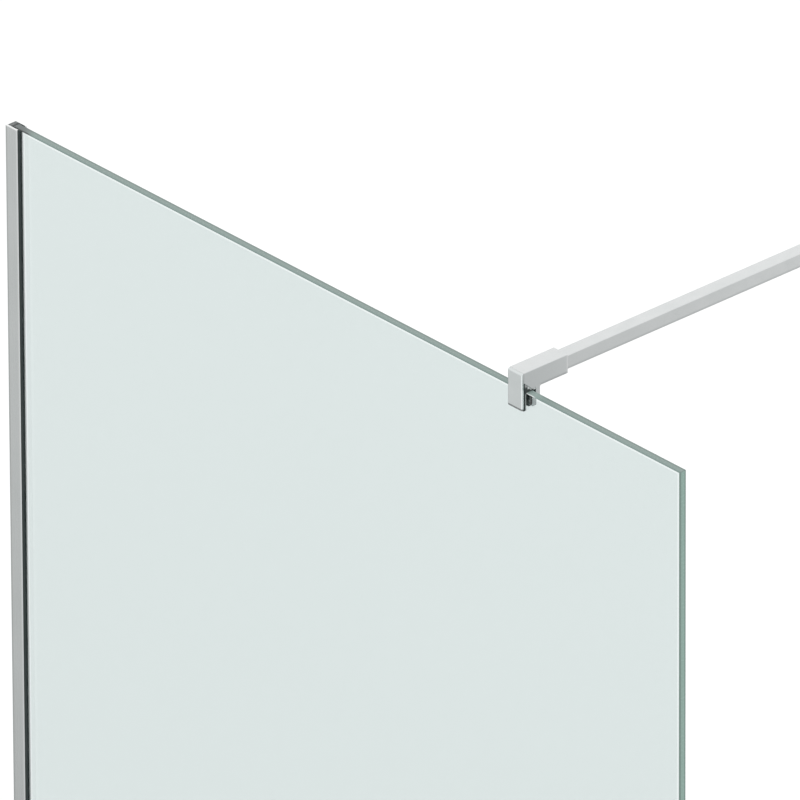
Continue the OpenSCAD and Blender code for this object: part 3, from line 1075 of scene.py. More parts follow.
class Finishes:
    """Every finish of the screen, built once."""

    def __init__(self) -> None:
        """Builds the materials."""
        self.build_metals()
        self.build_soft_pieces()
        self.build_glass()

    def build_metals(self) -> None:
        """Builds the plated, anodised and zinc plated finishes."""
        low, back = LAYOUT.socket_z, LAYOUT.plate_back
        left, right = LAYOUT.clamp_sides
        # The joint's colour is painted shade in the narrow gap between the plate and the
        # socket
        side, painted_joint_shade = beside(right, -0.75, -0.15), (0.25, 0.26, 0.26)
        self.chrome = SatinMetal("soft_chrome").build()
        # Painted shade: the right side, the joint behind the plate and the foot behind the jaw
        self.head_chrome = SatinMetal("head_chrome", (
            Zone((0.615, 0.64, 0.64), x=side, y=(80.0, 0.0)),
            Zone(painted_joint_shade, y=beside(back, 0.5, 0.0), upright=True),
            Zone((0.50, 0.52, 0.52), y=beside(LAYOUT.jaw_back, 0.0, 1.5),
                 z=beside(low, 2.6, 1.6)),
            # A painted highlight at the mouth
            Zone((0.77, 0.78, 0.78), x=side,
                 y=beside(LAYOUT.clamp_mouth, -1.9, -1.3)))).build()
        # Painted shade in the joint, at the left border and at the foot
        self.plate_chrome = SatinMetal("plate_chrome", (
            Zone(painted_joint_shade, y=beside(back, -0.5, 0.0), upright=True),
            Zone((0.60, 0.62, 0.62), x=beside(left, 1.55, 0.95),
                 z=beside(LAYOUT.head_top, -2.5, -4.5)),
            Zone((0.26, 0.275, 0.275), z=beside(LAYOUT.plate_foot, 2.7, 1.9))),
            (0.655, 0.692, 0.689), (0.70, 0.733, 0.73)).build()
        # Painted shade along the lower border
        self.arm_chrome = SatinMetal("arm_chrome", (
            Zone((0.575, 0.595, 0.595), z=beside(low, 5.0, 4.0)),)).build()
        # Painted shade at the wall's border and a painted highlight at the mouth's border
        self.aluminium = DrawnAluminium("bright_aluminium", (
            Zone((0.49, 0.51, 0.505), x=(2.4, 1.4)),
            Zone((0.74, 0.76, 0.755), x=beside(LAYOUT.channel_depth, -2.3, -1.1)),
            # The pale sawn end, carried down the faces as a painted highlight
            Zone((0.97, 0.98, 0.98), z=beside(LAYOUT.height, -1.4, -0.8)))).build()
        self.steel = ScrewSteel().build()

    def build_soft_pieces(self) -> None:
        """Builds the finishes of the rubber, plastic and vinyl pieces."""
        top, back = LAYOUT.height, LAYOUT.plate_back
        # A painted highlight on the rear strip's end at the channel's mouth
        self.rubber = BlackRubber("seal_rubber", (
            Zone((0.60, 0.63, 0.62), x=beside(LAYOUT.channel_depth, -1.0, -0.4),
                 y=(1.0, 2.0)),)).build()
        # Painted light beside the glass, above its edge and on the sloped corner higher up
        self.saddle = BlackRubber("saddle_rubber", (
            Zone((0.36, 0.40, 0.39), y=beside(back, 1.7, 2.2), z=beside(top, 0.0, -2.0)),
            Zone((0.045, 0.055, 0.053), y=beside(back, 1.7, 2.2), z=beside(top, -0.5, 0.5)),
            Zone((0.40, 0.41, 0.41), y=beside(back, 1.5, 2.0), z=beside(top, 4.4, 7.0)),
            # Three painted highlights
            *(Zone((0.66, 0.69, 0.69), y=beside(y, 0.0, 1.4), z=beside(top + z, 0.0, 0.7))
              for y, z in ((-3.0, 2.6), (0.0, 1.2), (4.0, -0.4))))).build()
        # Painted light: a paler band across its middle and a painted highlight up it
        self.pad = BlackRubber("pad_rubber", (
            Zone((0.15, 0.165, 0.16), z=beside(LAYOUT.pad_z, -3.5, -2.3, 1.3, 2.5)),
            Zone((0.50, 0.52, 0.52), x=beside(LAYOUT.clamp_x, 2.0, 2.5, 4.0, 4.6)))).build()
        # Painted light on the shaded side of the channel's cap
        self.plastic = MouldedPlastic("grey_plastic", (
            Zone((0.42, 0.44, 0.44), x=(3.9, 4.15, 15.0, 20.0),
                 z=beside(top, -50.0, -20.0)),)).build()
        self.backing = MouldedPlastic("black_plastic", (), (0.022, 0.024, 0.025),
                                      (0.032, 0.035, 0.036), smooth=0.38, dull=0.5).build()
        self.vinyl = ClearSolid("clear_vinyl", (), (0.82, 0.84, 0.84), (0.86, 0.88, 0.88),
                                smooth=0.12, shadow=(0.85, 0.87, 0.87), ior=1.45).build()

    def build_glass(self) -> None:
        """Builds the glass, with painted highlights beside its edges, and the ground edges."""
        painted_highlight, middle = (0.97, 1.0, 1.0), LAYOUT.clamp_x
        # Painted highlights beside the free edge, the top edge and the seals, front then rear
        self.glass = ClearSolid("toughened_glass", (
            Zone(painted_highlight, x=beside(LAYOUT.reach, -3.1, -2.2)),
            Zone(painted_highlight, z=beside(LAYOUT.height, -2.8, -2.1)),
            # Painted light that lifts the shade beside the seals
            Zone((0.73, 0.795, 0.787), x=(30.0, 22.0)),
            Zone(painted_highlight, x=(23.8, 22.8), y=(1.0, -1.0)),
            Zone(painted_highlight, x=(18.4, 17.4), y=(-1.0, 1.0))),
            (0.683, 0.750, 0.742), (0.690, 0.756, 0.748)).build()
        # Painted shade towards the channel: the whole width of the edge and then its front rim
        painted_channel_shade = (Zone((0.12, 0.14, 0.14), x=(34.0, 16.0)),
                Zone((0.05, 0.06, 0.06), x=(34.0, 24.0), y=(-1.6, -3.2)))
        self.edge = GroundEdge("glass_edge", painted_channel_shade, (0.22, 0.315, 0.28),
                               (0.34, 0.50, 0.44)).build()
        # Painted shade on the rear rim, then beside the clamp a stretch of painted light
        self.top_edge = GroundEdge("glass_top_edge", (
            Zone((0.175, 0.235, 0.218), y=(1.2, 2.0)), *painted_channel_shade,
            Zone((0.36, 0.46, 0.43), x=beside(middle, -12.3, -0.3, 9.7, 31.7)),
            # A painted highlight on the front rim beside the clamp
            Zone((0.90, 0.95, 0.94), x=beside(middle, -0.3, 3.7, 16.7, 21.7),
                 y=(-3.2, -3.5))), (0.20, 0.28, 0.26), (0.235, 0.31, 0.285)).build()


# The sub-assemblies

@dataclass
class WallChannel:
    """The channel on the wall, its seal strips, its cap and the block under the glass."""

    finishes: Finishes
    base: float = 1.6
    leg: float = 1.2
    seal_room: float = 0.85
    lip: Point2 = (1.4, 0.3)
    leg_rounds: tuple[float, ...] = (0.15, 0.4, 0.12, 0.1, 0.0, 0.3)
    edge: float = 0.12
    hole_r: float = 2.5
    hole_end: float = 75.0
    hole_count: int = 4
    seal_show: float = 3.1
    seal_recess: float = 0.45
    seal_tail: float = 4.2
    head_rounds: tuple[float, ...] = (0.35, 0.45, 0.15, 0.0)
    flush_rounds: tuple[float, ...] = (0.1, 0.1)
    tail_rounds: tuple[float, ...] = (0.0, 0.1, 0.3, 0.1, 0.1)
    strip_foot: float = 0.5

    def section(self) -> list[Point2]:
        """Outline of the channel with its corners rounded as a die rounds them."""
        inner = LAYOUT.glass_face + self.seal_room
        outer, mouth = inner + self.leg, LAYOUT.channel_depth
        lip_x, lip_y = mouth - self.lip[0], inner - self.lip[1]
        rear = [(0.0, outer), (mouth, outer), (mouth, lip_y), (lip_x, lip_y),
                (lip_x, inner), (self.base, inner)]
        front = [(x, -y) for x, y in reversed(rear)]
        rounds = [*self.leg_rounds, *reversed(self.leg_rounds)]
        return rounded([*rear, *front], rounds, steps=3)

    def strip_section(self, front: bool) -> list[Point2]:
        """Outline of a seal strip.

        Args:
            front: True for the strip with a head that shows, False for the flush one.

        Returns:
            The outline, with the end at the mouth first and then the tail inside.
        """
        mouth, gap = LAYOUT.channel_depth, LAYOUT.touch
        inner, near = LAYOUT.glass_face + self.seal_room, LAYOUT.glass_face + gap
        face = inner + self.leg - self.seal_recess
        end, head = mouth + self.seal_show, mouth + gap
        neck_y, tail_y = inner - self.lip[1] - gap, inner - gap
        tail = mouth - self.lip[0] - gap
        tip = tail - self.seal_tail
        shown = [(end, near), (end, face), (head, face), (head, neck_y)]
        flush = [(mouth, near), (mouth, neck_y)]
        inside = [(tail, neck_y), (tail, tail_y), (tip + self.lip[0], tail_y),
                  (tip, near + self.lip[1]), (tip, near)]
        rounds = self.head_rounds if front else self.flush_rounds
        made = rounded((shown if front else flush) + inside, [*rounds, *self.tail_rounds])
        return [(x, -y if front else y) for x, y in made]

    def build(self, sweep: Recipe, bored: Recipe) -> None:
        """Builds the channel and both strips and dresses the solids that stay.

        Args:
            sweep: The tree that draws a section out.
            bored: The tree that also bores a row of holes.
        """
        finishes, height = self.finishes, LAYOUT.height
        section = section_curve(self.section(), Axis.Z)
        step = (height - 2 * self.hole_end) / (self.hole_count - 1)
        channel = bored.run("channel_raw", Section=section, To=(0, 0, height * MM),
                            Count=self.hole_count,
                            First=(self.base / 2 * MM, 0, self.hole_end * MM),
                            Step=(0, 0, step * MM), Radius=self.hole_r * MM,
                            Depth=2 * self.base * MM, Finish=finishes.aluminium)
        channel = baked(bevel(channel, self.edge, segments=2, angle=60), "channel_edged")
        channel = shaded(channel, "wall_profile")
        dress(channel, finishes.aluminium, Body.CHANNEL, "wall_channel")
        drop([section])
        for front, node, name in ((True, "front_seal_strip", "front_gasket"),
                                  (False, "rear_seal_strip", "rear_gasket")):
            section = section_curve(self.strip_section(front), Axis.Z)
            strip = sweep.run(name + "_raw", Section=section,
                              From=(0, 0, self.strip_foot * MM), To=(0, 0, height * MM),
                              Finish=finishes.rubber)
            dress(shaded(strip, name), finishes.rubber, Body.CHANNEL, node)
            drop([section])
        dress_node("channel_cap", finishes.plastic)
        dress_node("glass_packer", finishes.plastic)


@dataclass
class GlassPane:
    """The toughened glass with ground edges, and the clear seal under it."""

    finishes: Finishes
    inset: float = 7.5
    lift: float = 8.0
    arris: float = 0.6
    drip_start: float = 23.6
    drip_wall: float = 1.0
    drip_web: float = 1.2
    drip_leg: float = 14.0
    fin_foot: float = 0.4
    fin_root: Point2 = (-1.4, 0.2)
    fin_tip: Point2 = (-4.0, -3.1)
    drip_rounds: tuple[float, ...] = (0.4, 0.5, 0.15, 0.15, 0.8, 0.4, 0.4, 0.3, 0.0, 0.0,
                                      0.3, 0.4)

    def pane(self) -> bpy.types.Object:
        """Builds the glass, with its faces, arrises and edges in materials of their own."""
        low = (self.inset, -LAYOUT.glass_face)
        high = (LAYOUT.reach, LAYOUT.glass_face)
        raw = prism("pane_raw", rectangle(low, high), Axis.Z, self.lift,
                    LAYOUT.height - self.lift)
        pane = baked(bevel(raw, self.arris, segments=1, angle=40), "glass_pane")
        mesh = pane.data
        for finish in (self.finishes.glass, self.finishes.edge, self.finishes.top_edge):
            mesh.materials.append(finish)
        for face in mesh.polygons:
            flat, level = abs(face.normal.y) > 0.99, abs(face.normal.z) > 0.5
            face.material_index = 0 if flat else 2 if level else 1
        return pane

    def drip_section(self) -> list[Point2]:
        """Outline of the bottom seal: two legs, a web and a fin that sweeps the tray."""
        y_in = LAYOUT.glass_face + LAYOUT.touch
        y_out = y_in + self.drip_wall
        web = self.lift - LAYOUT.touch
        under, top = web - self.drip_web, web + self.drip_leg
        (root_a, root_b), (tip_a, tip_b) = self.fin_root, self.fin_tip
        points = [(-y_out, under), (root_a, under), (tip_a, self.fin_foot),
                  (tip_b, self.fin_foot), (root_b, under), (y_out, under), (y_out, top),
                  (y_in, top), (y_in, web), (-y_in, web), (-y_in, top), (-y_out, top)]
        return rounded(points, self.drip_rounds)

    def build(self, sweep: Recipe) -> None:
        """Builds both pieces.

        Args:
            sweep: The tree that draws a section out.
        """
        finishes = self.finishes
        dress(self.pane(), finishes.glass, Body.GLASS, "glass_panel")
        section = section_curve(self.drip_section(), Axis.X)
        seal = sweep.run("drip_raw", Section=section, From=(self.drip_start * MM, 0, 0),
                         To=(LAYOUT.reach * MM, 0, 0), Finish=finishes.vinyl)
        dress(shaded(seal, "drip_seal"), finishes.vinyl, Body.GLASS,
              "bottom_seal")
        drop([section])


@dataclass(frozen=True)
class ArmSocket:
    """A square socket for the arm, with two set screws that hold it from below.

    It runs inwards from its mouth, towards +Y where inwards is 1 and back where it is -1.
    """

    mouth: float
    inwards: int
    depth: float
    bore_round: float = 0.48
    flare: float = 0.9
    flare_l: float = 0.35
    wall: float = 2.2
    first: float = 8.0
    apart: float = 12.0
    hole_r: float = 1.55
    hole_flare: float = 0.3
    screw_r: float = 1.5
    screw_l: float = 2.0
    thread: float = 0.5
    key_w: float = 1.5
    key_depth: float = 1.2

    def inside(self, step: float) -> float:
        """Place along Y at some step from the mouth into the socket."""
        return self.mouth + self.inwards * step

    def hollow(self, name: str, side: float, corner: float,
               depth: float) -> bpy.types.Object:
        """Builds a square solid that is cut out from the mouth inwards.

        Args:
            name: The object's name.
            side: The square's side.
            corner: Radius of its corners.
            depth: How deep it reaches into the socket.

        Returns:
            The solid.
        """
        start, stop = sorted((self.inside(-OVERSHOOT), self.inside(depth)))
        return square_bar(name, side, corner, start, stop - start)

    def cuts(self) -> list[bpy.types.Object]:
        """Builds what is cut out: the bore, the flare at its mouth and two screw holes."""
        foot, wide = LAYOUT.socket_z, self.hole_r + self.hole_flare
        rings = [(foot - OVERSHOOT, wide), (foot, wide),
                 (foot + self.hole_flare, self.hole_r),
                 (foot + self.wall + OVERSHOOT, self.hole_r)]
        return [self.hollow("bore", LAYOUT.bore_w, self.bore_round, self.depth),
                self.hollow("flare", LAYOUT.bore_w + self.flare, self.flare, self.flare_l),
                *(turned("screw_hole", Axis.Z, (LAYOUT.clamp_x, self.inside(step)), rings,
                         sides=32) for step in (self.first, self.first + self.apart))]

    def set_screws(self, finishes: Finishes, row: Recipe, name: str, body: Body,
                   node: str) -> None:
        """Builds the two set screws.

        Args:
            finishes: The screen's finishes.
            row: The tree that sets copies in a row.
            name: The piece's name.
            body: The body that it rides on.
            node: The CAD node that it replaces.
        """
        shank = threaded("set_shank", Axis.Z, (0, 0), 0, self.screw_l, self.screw_r,
                         self.thread)
        key = hexagon("set_key", Axis.Z, (0, 0), -OVERSHOOT, self.key_depth, self.key_w)
        pattern = machined("set_screw_pattern", shank, [key])
        near = min(self.inside(self.first), self.inside(self.first + self.apart))
        foot = LAYOUT.socket_z + self.wall - self.screw_l
        made = row.run(name, Piece=pattern, Count=2, Finish=finishes.steel,
                       First=(LAYOUT.clamp_x * MM, near * MM, foot * MM),
                       Step=(0, self.apart * MM, 0))
        drop([pattern])
        dress(made, finishes.steel, body, node)


@dataclass
class GlassClamp:
    """The clamp on the top edge of the glass, with its plate, saddle, pad and screws."""

    finishes: Finishes
    bore_depth: float = 39.6
    slope: Point2 = (9.7, 8.8)
    jaw_front: float = 7.4
    jaw_drop: float = 16.0
    jaw_rounds: Point3 = (1.5, 1.2, 0.4)
    end_round: float = 0.45
    side_round: float = 0.6
    plate_t: float = 2.4
    plate_bevel: float = 1.1
    plate_roll: float = 2.05
    boss_r: float = 3.4
    boss_l: float = 3.5
    boss_room: float = 0.2
    tap_r: float = 2.05
    tap_skin: float = 1.3
    shank_hole_r: float = 2.25
    head_hole_r: float = 3.7
    head_seat: float = 1.0
    screw_drop: float = 5.9
    saddle_drop: float = 0.8
    saddle_inset: float = 0.3
    saddle_rounds: tuple[float, ...] = (0.3, 0.5, 0.0, 0.3, 0.2, 0.0, 0.0)
    saddle_edge: float = 0.25
    pad: Point3 = (16.0, 1.5, 10.1)
    pad_corner: float = 0.7
    pad_edge: float = 0.35
    pressure_edge: float = 0.2
    pressure_t: float = 1.2
    screw_r: float = 2.47
    screw_hole_r: float = 2.53
    screw_sink: float = 0.4
    thread: float = 0.8
    tip_r: float = 1.75
    tip_l: float = 0.7
    tip_root: float = 0.6
    tip_round: float = 0.2
    key_w: float = 2.5
    key_depth: float = 3.0

    def __post_init__(self) -> None:
        """Works out the places that several pieces share."""
        self.x, self.left = LAYOUT.clamp_x, LAYOUT.clamp_sides[0]
        self.plate_back = LAYOUT.plate_back
        self.plate_front = self.plate_back - self.plate_t
        self.socket = ArmSocket(LAYOUT.clamp_mouth, -1, self.bore_depth)
        self.plate_screw = (self.x, LAYOUT.head_top - self.screw_drop)
        self.screw = (self.x, LAYOUT.pad_z)
        self.pad_front = LAYOUT.glass_face + LAYOUT.touch
        self.pad_back = self.pad_front + self.pad[1]

    def body(self) -> bpy.types.Object:
        """Builds the socket with the rear jaw, its bore and its screw holes."""
        back, mouth, low, top = (self.plate_back, LAYOUT.clamp_mouth, LAYOUT.socket_z,
                                 LAYOUT.head_top)
        front, rear, foot = self.jaw_front, LAYOUT.jaw_back, LAYOUT.height - self.jaw_drop
        outline = [(back, low + self.slope[1]), (back, top), (mouth, top), (mouth, low),
                   (rear, low), (rear, foot), (front, foot), (front, low),
                   (back + self.slope[0], low)]
        radii = [0.0, *[self.end_round] * 3, *self.jaw_rounds, 0.0, 0.0]
        blank = prism("body_blank", rounded(outline, radii, steps=5), Axis.X, self.left,
                      LAYOUT.socket_w)
        bevel(blank, self.side_round, angle=60)
        bore, flare, *grubs = self.socket.cuts()
        boss_hole_r = self.boss_r + LAYOUT.touch
        boss_end = back + self.boss_l + self.boss_room
        shank = turned("shank_hole", Axis.Y, self.plate_screw, [
            (back - OVERSHOOT, boss_hole_r), (boss_end, boss_hole_r),
            (boss_end + STEP, self.shank_hole_r), (self.head_seat, self.shank_hole_r),
            (self.head_seat + STEP, self.head_hole_r),
            (self.socket.inside(self.bore_depth) + OVERSHOOT, self.head_hole_r)])
        r, flare_end = self.screw_hole_r, rear + LAYOUT.touch
        screw = turned("screw_hole", Axis.Y, self.screw, [
            (front - OVERSHOOT, r), (flare_end - self.screw_sink, r),
            (flare_end, r + self.screw_sink), (rear + OVERSHOOT, r + self.screw_sink)])
        return machined("clamp_head", blank, [bore, flare, shank, screw, *grubs])

    def plate(self) -> bpy.types.Object:
        """Builds the front plate with its rolled top edge and the boss behind it."""
        foot, top, front, back = (LAYOUT.plate_foot, LAYOUT.head_top, self.plate_front,
                                  self.plate_back)
        spare = back + 2 * self.plate_bevel
        outline = [(front, foot), (spare, foot), (spare, top), (front, top)]
        rounds = (0.0, 0.0, 0.0, self.plate_roll)
        blank = prism("plate_blank", rounded(outline, rounds, steps=8), Axis.X, self.left,
                      LAYOUT.socket_w)
        bevel(blank, self.plate_bevel)
        behind = prism("plate_spare", rectangle((back, foot - OVERSHOOT),
                                                (spare + OVERSHOOT, top + OVERSHOOT)),
                       Axis.X, self.left - OVERSHOOT, LAYOUT.socket_w + 2 * OVERSHOOT)
        blank = machined("plate_cut", blank, [behind])
        boss_end = back + self.boss_l
        boss = pin("boss", Axis.Y, self.plate_screw, back - OVERSHOOT, boss_end, self.boss_r)
        tap = pin("tap", Axis.Y, self.plate_screw, front + self.tap_skin,
                  boss_end + OVERSHOOT, self.tap_r)
        return machined("clamp_front_plate", blank, [tap], [boss])

    def saddle(self) -> bpy.types.Object:
        """Builds the soft saddle: a leg before the glass, a back and a sloped corner."""
        back, gap = self.plate_back, LAYOUT.touch
        near, rear = -LAYOUT.glass_face - gap, self.jaw_front - gap
        foot, under = LAYOUT.plate_foot - self.saddle_drop, LAYOUT.height + 2 * gap
        over = LAYOUT.socket_z - gap
        outline = [(back, foot), (near, foot), (near, under), (rear, under), (rear, over),
                   (back + self.slope[0] - gap, over), (back, over + self.slope[1])]
        width = LAYOUT.socket_w - 2 * self.saddle_inset
        blank = prism("saddle_blank", rounded(outline, self.saddle_rounds), Axis.X,
                      self.x - width / 2, width)
        bevel(blank, self.saddle_edge, segments=2, angle=60)
        return machined("edge_saddle", blank)

    def flat_pad(self, name: str, front: float, thick: float, edge: float,
                 *cuts: bpy.types.Object) -> bpy.types.Object:
        """Builds the pad or its pressure plate.

        Args:
            name: The piece's name.
            front: Where its front face lies along Y.
            thick: Its thickness.
            edge: Width of its rounded edges.
            *cuts: What is cut out of it.

        Returns:
            The piece.
        """
        w, h = self.pad[0] / 2, self.pad[2] / 2
        x, z = self.screw
        outline = rounded(rectangle((x - w, z - h), (x + w, z + h)), self.pad_corner)
        blank = prism(name + "_blank", outline, Axis.Y, front, thick)
        return machined(name, bevel(blank, edge), cuts)

    def pressure_screw(self) -> bpy.types.Object:
        """Builds the clamp screw, with its tip, its thread and its hexagon socket."""
        back, gap = LAYOUT.jaw_back, LAYOUT.touch
        start = self.pad_back + self.pressure_t
        tip_end = start - self.tip_l
        shank = threaded("screw_shank", Axis.Y, self.screw, start + gap, back - start - gap,
                         self.screw_r, self.thread)
        tip = turned("screw_tip", Axis.Y, self.screw, [
            (tip_end, self.tip_r - self.tip_round), (tip_end + self.tip_round, self.tip_r),
            (start + self.tip_root, self.tip_r)], sides=32)
        key = hexagon("key", Axis.Y, self.screw, back - self.key_depth, back + OVERSHOOT,
                      self.key_w)
        return machined("pressure_screw", shank, [key], [tip])

    def build(self, row: Recipe) -> None:
        """Builds all pieces of the clamp.

        Args:
            row: The tree that sets copies in a row.
        """
        f = self.finishes
        dress(self.body(), f.head_chrome, Body.CLAMP, "clamp_body")
        dress(self.plate(), f.plate_chrome, Body.CLAMP, "front_plate")
        dress(self.saddle(), f.saddle, Body.CLAMP, "glass_saddle")
        soft = self.flat_pad("soft_pad", self.pad_front, self.pad[1], self.pad_edge)
        dress(soft, f.pad, Body.PAD, "rear_pad")
        back, gap = self.pad_back + self.pressure_t, LAYOUT.touch
        hollow = pin("hollow", Axis.Y, self.screw, back - self.tip_l - gap,
                     back + OVERSHOOT, self.tip_r + gap, sides=32)
        backing = self.flat_pad("pad_backing", self.pad_back, self.pressure_t,
                                self.pressure_edge, hollow)
        dress(backing, f.backing, Body.PAD, "pressure_plate")
        dress(self.pressure_screw(), f.steel, Body.CLAMP_SCREW, "clamp_screw")
        for node in ("plate_screw", "plate_washer"):
            dress_node(node, f.steel)
        self.socket.set_screws(f, row, "arm_set_screws", Body.CLAMP, "clamp_grub_screws")


@dataclass
class SupportArm:
    """The square tube that runs from the clamp back to the side wall."""

    finishes: Finishes
    width: float = 14.0
    wall: float = 1.2
    corner: float = 0.8
    start: float = 7.5
    stop: float = 990.0

    def build(self) -> None:
        """Builds the tube."""
        run = self.stop - self.start
        outer = square_bar("tube_blank", self.width, self.corner, self.start, run, steps=5)
        inner = square_bar("tube_inside", self.width - 2 * self.wall, 0.0,
                           self.start - OVERSHOOT, run + 2 * OVERSHOOT)
        dress(machined("arm_tube", outer, [inner]), self.finishes.arm_chrome, Body.ARM,
              "support_bar")


@dataclass
class WallBracket:
    """The flange at the side wall with its socket, and the cover that slides over it."""

    finishes: Finishes
    reach: float = 1000.0
    flange_w: float = 44.0
    flange_t: float = 3.5
    flange_round: float = 3.0
    socket_l: float = 31.5
    hole_pitch: float = 30.0
    hole_r: float = 2.5
    sink_r: float = 4.4
    cover_w: float = 48.0
    cover_h: float = 8.0
    cover_wall: float = 1.2
    cover_gap: float = 0.2
    cover_edge: float = 0.8
    cover_hole_round: float = 0.5
    flange_edge: float = 0.4
    socket_round: float = 0.6
    ring_w: float = 2.0
    ring_t: float = 1.6
    ring_rounds: Point2 = (0.8, 0.4)
    ring_edge: float = 0.2

    def __post_init__(self) -> None:
        """Works out the places that several pieces share."""
        self.face = self.reach - self.flange_t
        self.socket = ArmSocket(self.face - self.socket_l, 1, self.socket_l)
        self.cover_front = self.reach - self.cover_gap - self.cover_h

    def flange(self) -> bpy.types.Object:
        """Builds the flange with its socket, its bore and its countersunk holes."""
        disc = square_bar("flange_blank", self.flange_w, self.flange_round, self.face,
                          self.flange_t, steps=6)
        bevel(disc, self.flange_edge, segments=2)
        socket = square_bar("socket_blank", LAYOUT.socket_w, self.socket_round,
                            self.socket.mouth, self.socket_l + self.flange_t / 2)
        bevel(socket, self.flange_edge, angle=60)
        bore, flare, *grubs = self.socket.cuts()
        x, z = LAYOUT.arm_axis
        rings = [(self.face - OVERSHOOT, self.sink_r), (self.face, self.sink_r),
                 (self.face + self.sink_r - self.hole_r, self.hole_r),
                 (self.reach + OVERSHOOT, self.hole_r)]
        holes = [turned("sink", Axis.Y, (x, z + side * self.hole_pitch / 2), rings)
                 for side in (-1, 1)]
        return machined("bracket_flange", disc, [bore, flare, *holes, *grubs], [socket])

    def cover(self) -> bpy.types.Object:
        """Builds the shallow cover with its square hole."""
        front, high = self.cover_front, self.cover_h
        shell = square_bar("cover_blank", self.cover_w, self.flange_round, front, high,
                           steps=6)
        bevel(shell, self.cover_edge, segments=4)
        inside = square_bar("cover_inside", self.cover_w - 2 * self.cover_wall,
                            self.flange_round - self.cover_wall, front + self.cover_wall,
                            high, steps=6)
        hole = square_bar("cover_hole", LAYOUT.socket_w + self.cover_gap,
                          self.cover_hole_round, front - OVERSHOOT, high)
        return machined("bracket_cover", shell, [inside, hole])

    def ring(self) -> bpy.types.Object:
        """Builds the ring inside the cover's hole."""
        front = self.cover_front + self.cover_wall
        hole, (outer, inner) = LAYOUT.socket_w + 2 * LAYOUT.touch, self.ring_rounds
        blank = square_bar("ring_blank", hole + 2 * self.ring_w, outer, front, self.ring_t)
        cut = square_bar("ring_hole", hole, inner, front - OVERSHOOT,
                         self.ring_t + 2 * OVERSHOOT)
        return machined("bracket_ring", bevel(blank, self.ring_edge, segments=2), [cut])

    def build(self, row: Recipe) -> None:
        """Builds all pieces of the bracket.

        Args:
            row: The tree that sets copies in a row.
        """
        f = self.finishes
        dress(self.flange(), f.chrome, Body.BRACKET, "wall_flange")
        dress(self.cover(), f.chrome, Body.COVER, "wall_cover")
        dress(self.ring(), f.plastic, Body.COVER, "cover_ring")
        self.socket.set_screws(f, row, "bracket_set_screws", Body.BRACKET,
                               "wall_grub_screws")


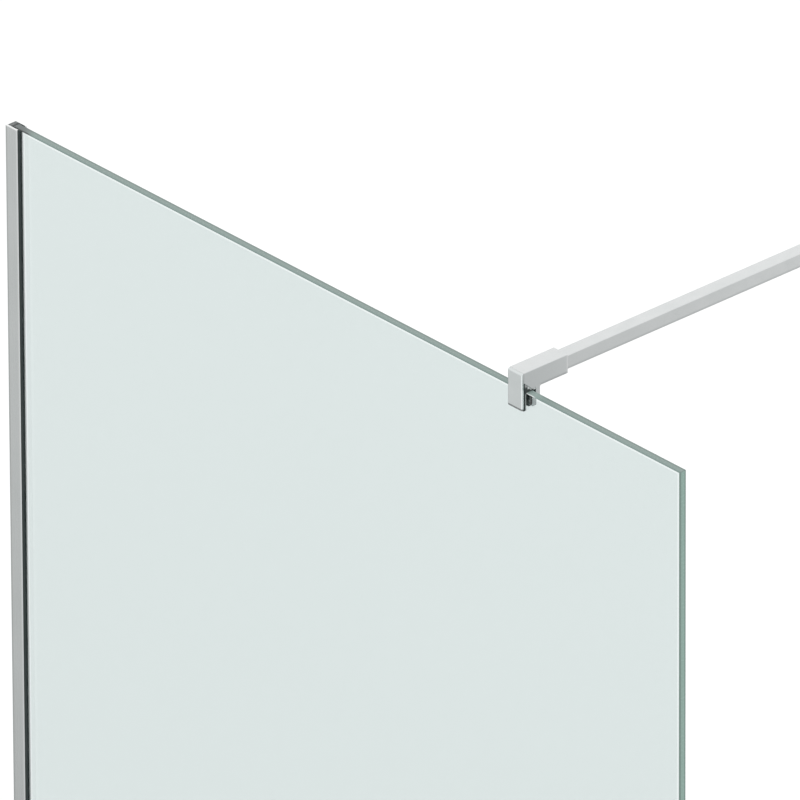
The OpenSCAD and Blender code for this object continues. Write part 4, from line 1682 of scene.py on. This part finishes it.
@dataclass
class Studio:
    """The camera at the photograph's angle, the pale floor, the lamps and the world.

    Angles are in degrees. Lengths are in metres, but the lens and its sensor in millimetres.
    """

    azimuth: float = 47.898569
    elevation: float = 28.469268
    roll: float = -0.256793
    lens: float = 1222.6417
    sensor: float = 36.0
    distance: float = 24.281823
    aim: Point3 = (0.444, 0.0, 1.5)
    shift_in_view: Point2 = (0.048983, 0.302145)
    ambient: float = 0.80
    backdrop: float = 1.06
    floor_colour: Colour = (0.60, 0.605, 0.605)
    floor_change: float = 0.01
    floor_side: float = 30.0
    floor_gap: float = 0.0004
    floor_lift: float = 0.42
    # Where each glow in the floor starts, where it is full, and its level
    front_fade: Point3 = (-1.6, -2.5, 0.22)
    rear_fade: Point3 = (2.35, 2.9, 0.26)
    card_fade: Point3 = (-0.4, -2.0, 0.70)
    # The direction, the power and the angle of each lamp
    suns: tuple[tuple[Point3, float, float], ...] = (
        ((-0.25, 0.35, 1.0), 0.62, 35.0), ((0.75, -0.55, 0.9), 0.22, 50.0))

    def camera(self) -> None:
        """Sets up the camera."""
        a, e, r = (math.radians(v) for v in (self.azimuth, self.elevation, self.roll))
        back = Vector((math.sin(a) * math.cos(e), -math.cos(a) * math.cos(e), math.sin(e)))
        level = Vector((math.cos(a), math.sin(a), 0))
        upright = back.cross(level)
        right = math.cos(r) * level + math.sin(r) * upright
        up = -math.sin(r) * level + math.cos(r) * upright
        target = Vector(self.aim) + right * self.shift_in_view[0] + up * self.shift_in_view[1]
        data = bpy.data.cameras.new("camera")
        data.lens, data.sensor_width = self.lens, self.sensor
        data.clip_start, data.clip_end = 1.0, 80.0
        camera = link("camera", data)
        turn = Matrix((right, up, back)).transposed().to_4x4()
        camera.matrix_world = Matrix.Translation(target + back * self.distance) @ turn
        bpy.context.scene.camera = camera

    def floor(self) -> None:
        """Lays the floor, which is white to the camera and keeps the shadows."""
        half = self.floor_side / 2
        corners = rectangle((-half, -half), (half, half))
        mesh = bpy.data.meshes.new("floor")
        mesh.from_pydata([(x, y, -self.floor_gap) for x, y in corners], [], [range(4)])
        floor = link("floor", mesh)
        paint = Paint("pale_floor")
        patches = paint.effect(EFFECTS.patches, Scale=0.6, Spread=0.4)["Mask"]
        light = tuple(c + self.floor_change for c in self.floor_colour)
        paint.set(Base_Color=paint.blend(patches, self.floor_colour, light), Roughness=0.9,
                  Specular_IOR_Level=0.1)
        path = paint.add("LightPath").outputs
        seen = paint.reckon("MAXIMUM", path["Is Camera Ray"], path["Is Transmission Ray"])
        mirror = paint.reckon("SUBTRACT", path["Is Glossy Ray"],
                              path["Is Transmission Ray"], clamp=True)
        lift = paint.reckon("ADD", paint.reckon("MULTIPLY", seen, self.floor_lift),
                            paint.reckon("MULTIPLY", mirror, self.reflected(paint)))
        glow = paint.add("Emission", None, {"Strength": lift})
        both = paint.add("AddShader", None, {0: paint.shader.outputs[0],
                                             1: glow.outputs[0]})
        paint.mixed(paint.add("NewGeometry").outputs["Backfacing"], both.outputs[0],
                    paint.add("BsdfTransparent").outputs[0])
        mesh.materials.append(paint.material)

    def reflected(self, paint: Paint) -> bpy.types.NodeSocket:
        """Makes the level that the metal's reflections add to the floor.

        The floor is dull near the glass and paler further off on both sides, and two
        quarters of it carry pale cards that only the bevels between the faces reflect.

        Args:
            paint: The floor's material.

        Returns:
            The level's socket.
        """
        x, y, _ = paint.split(paint.coordinates)
        sides = [paint.ramp(y, near, far, high=level, soft=True)
                 for near, far, level in (self.front_fade, self.rear_fade)]
        corner = paint.reckon("MULTIPLY", paint.reckon("SUBTRACT", x, self.aim[0]), y)
        near, far, level = self.card_fade
        return paint.between(paint.ramp(corner, near, far, soft=True),
                             paint.reckon("MAXIMUM", *sides), level)

    def world(self) -> None:
        """Sets the world: white where it is seen, and dimmer as light on the object."""
        world = bpy.data.worlds.new("studio")
        bpy.context.scene.world = world
        world.use_nodes = True
        nodes = Shading(world.node_tree)
        path = nodes.add("LightPath").outputs
        seen = nodes.reckon("MAXIMUM", path["Is Camera Ray"], path["Is Glossy Ray"])
        seen = nodes.reckon("MAXIMUM", seen, path["Is Transmission Ray"])
        back = nodes.tree.nodes["Background"].inputs
        nodes.feed(back["Color"], (1.0, 1.0, 1.0))
        level = nodes.ramp(seen, 0.0, 1.0, low=self.ambient, high=self.backdrop)
        nodes.feed(back["Strength"], level)

    def lamps(self) -> None:
        """Hangs the soft lamps."""
        for number, (towards, power, angle) in enumerate(self.suns):
            data = bpy.data.lights.new(f"lamp_{number}", "SUN")
            data.energy, data.angle = power, math.radians(angle)
            lamp = link(f"lamp_{number}", data)
            lamp.visible_glossy = False
            lamp.rotation_mode = "QUATERNION"
            lamp.rotation_quaternion = Vector(towards).to_track_quat("Z", "Y")

    def build(self) -> None:
        """Builds the studio."""
        self.camera()
        self.floor()
        self.world()
        self.lamps()
        bpy.context.scene.view_settings.view_transform = "Standard"


def main() -> None:
    """Builds the studio and every sub-assembly."""
    logging.basicConfig(level=logging.INFO, format="%(message)s")
    finishes = Finishes()
    sweep, bored, row = sweep_recipe(), bored_recipe(), row_recipe()
    Studio().build()
    WallChannel(finishes).build(sweep, bored)
    GlassPane(finishes).build(sweep)
    GlassClamp(finishes).build(row)
    SupportArm(finishes).build()
    WallBracket(finishes).build(row)


if __name__ == "__main__":
    main()
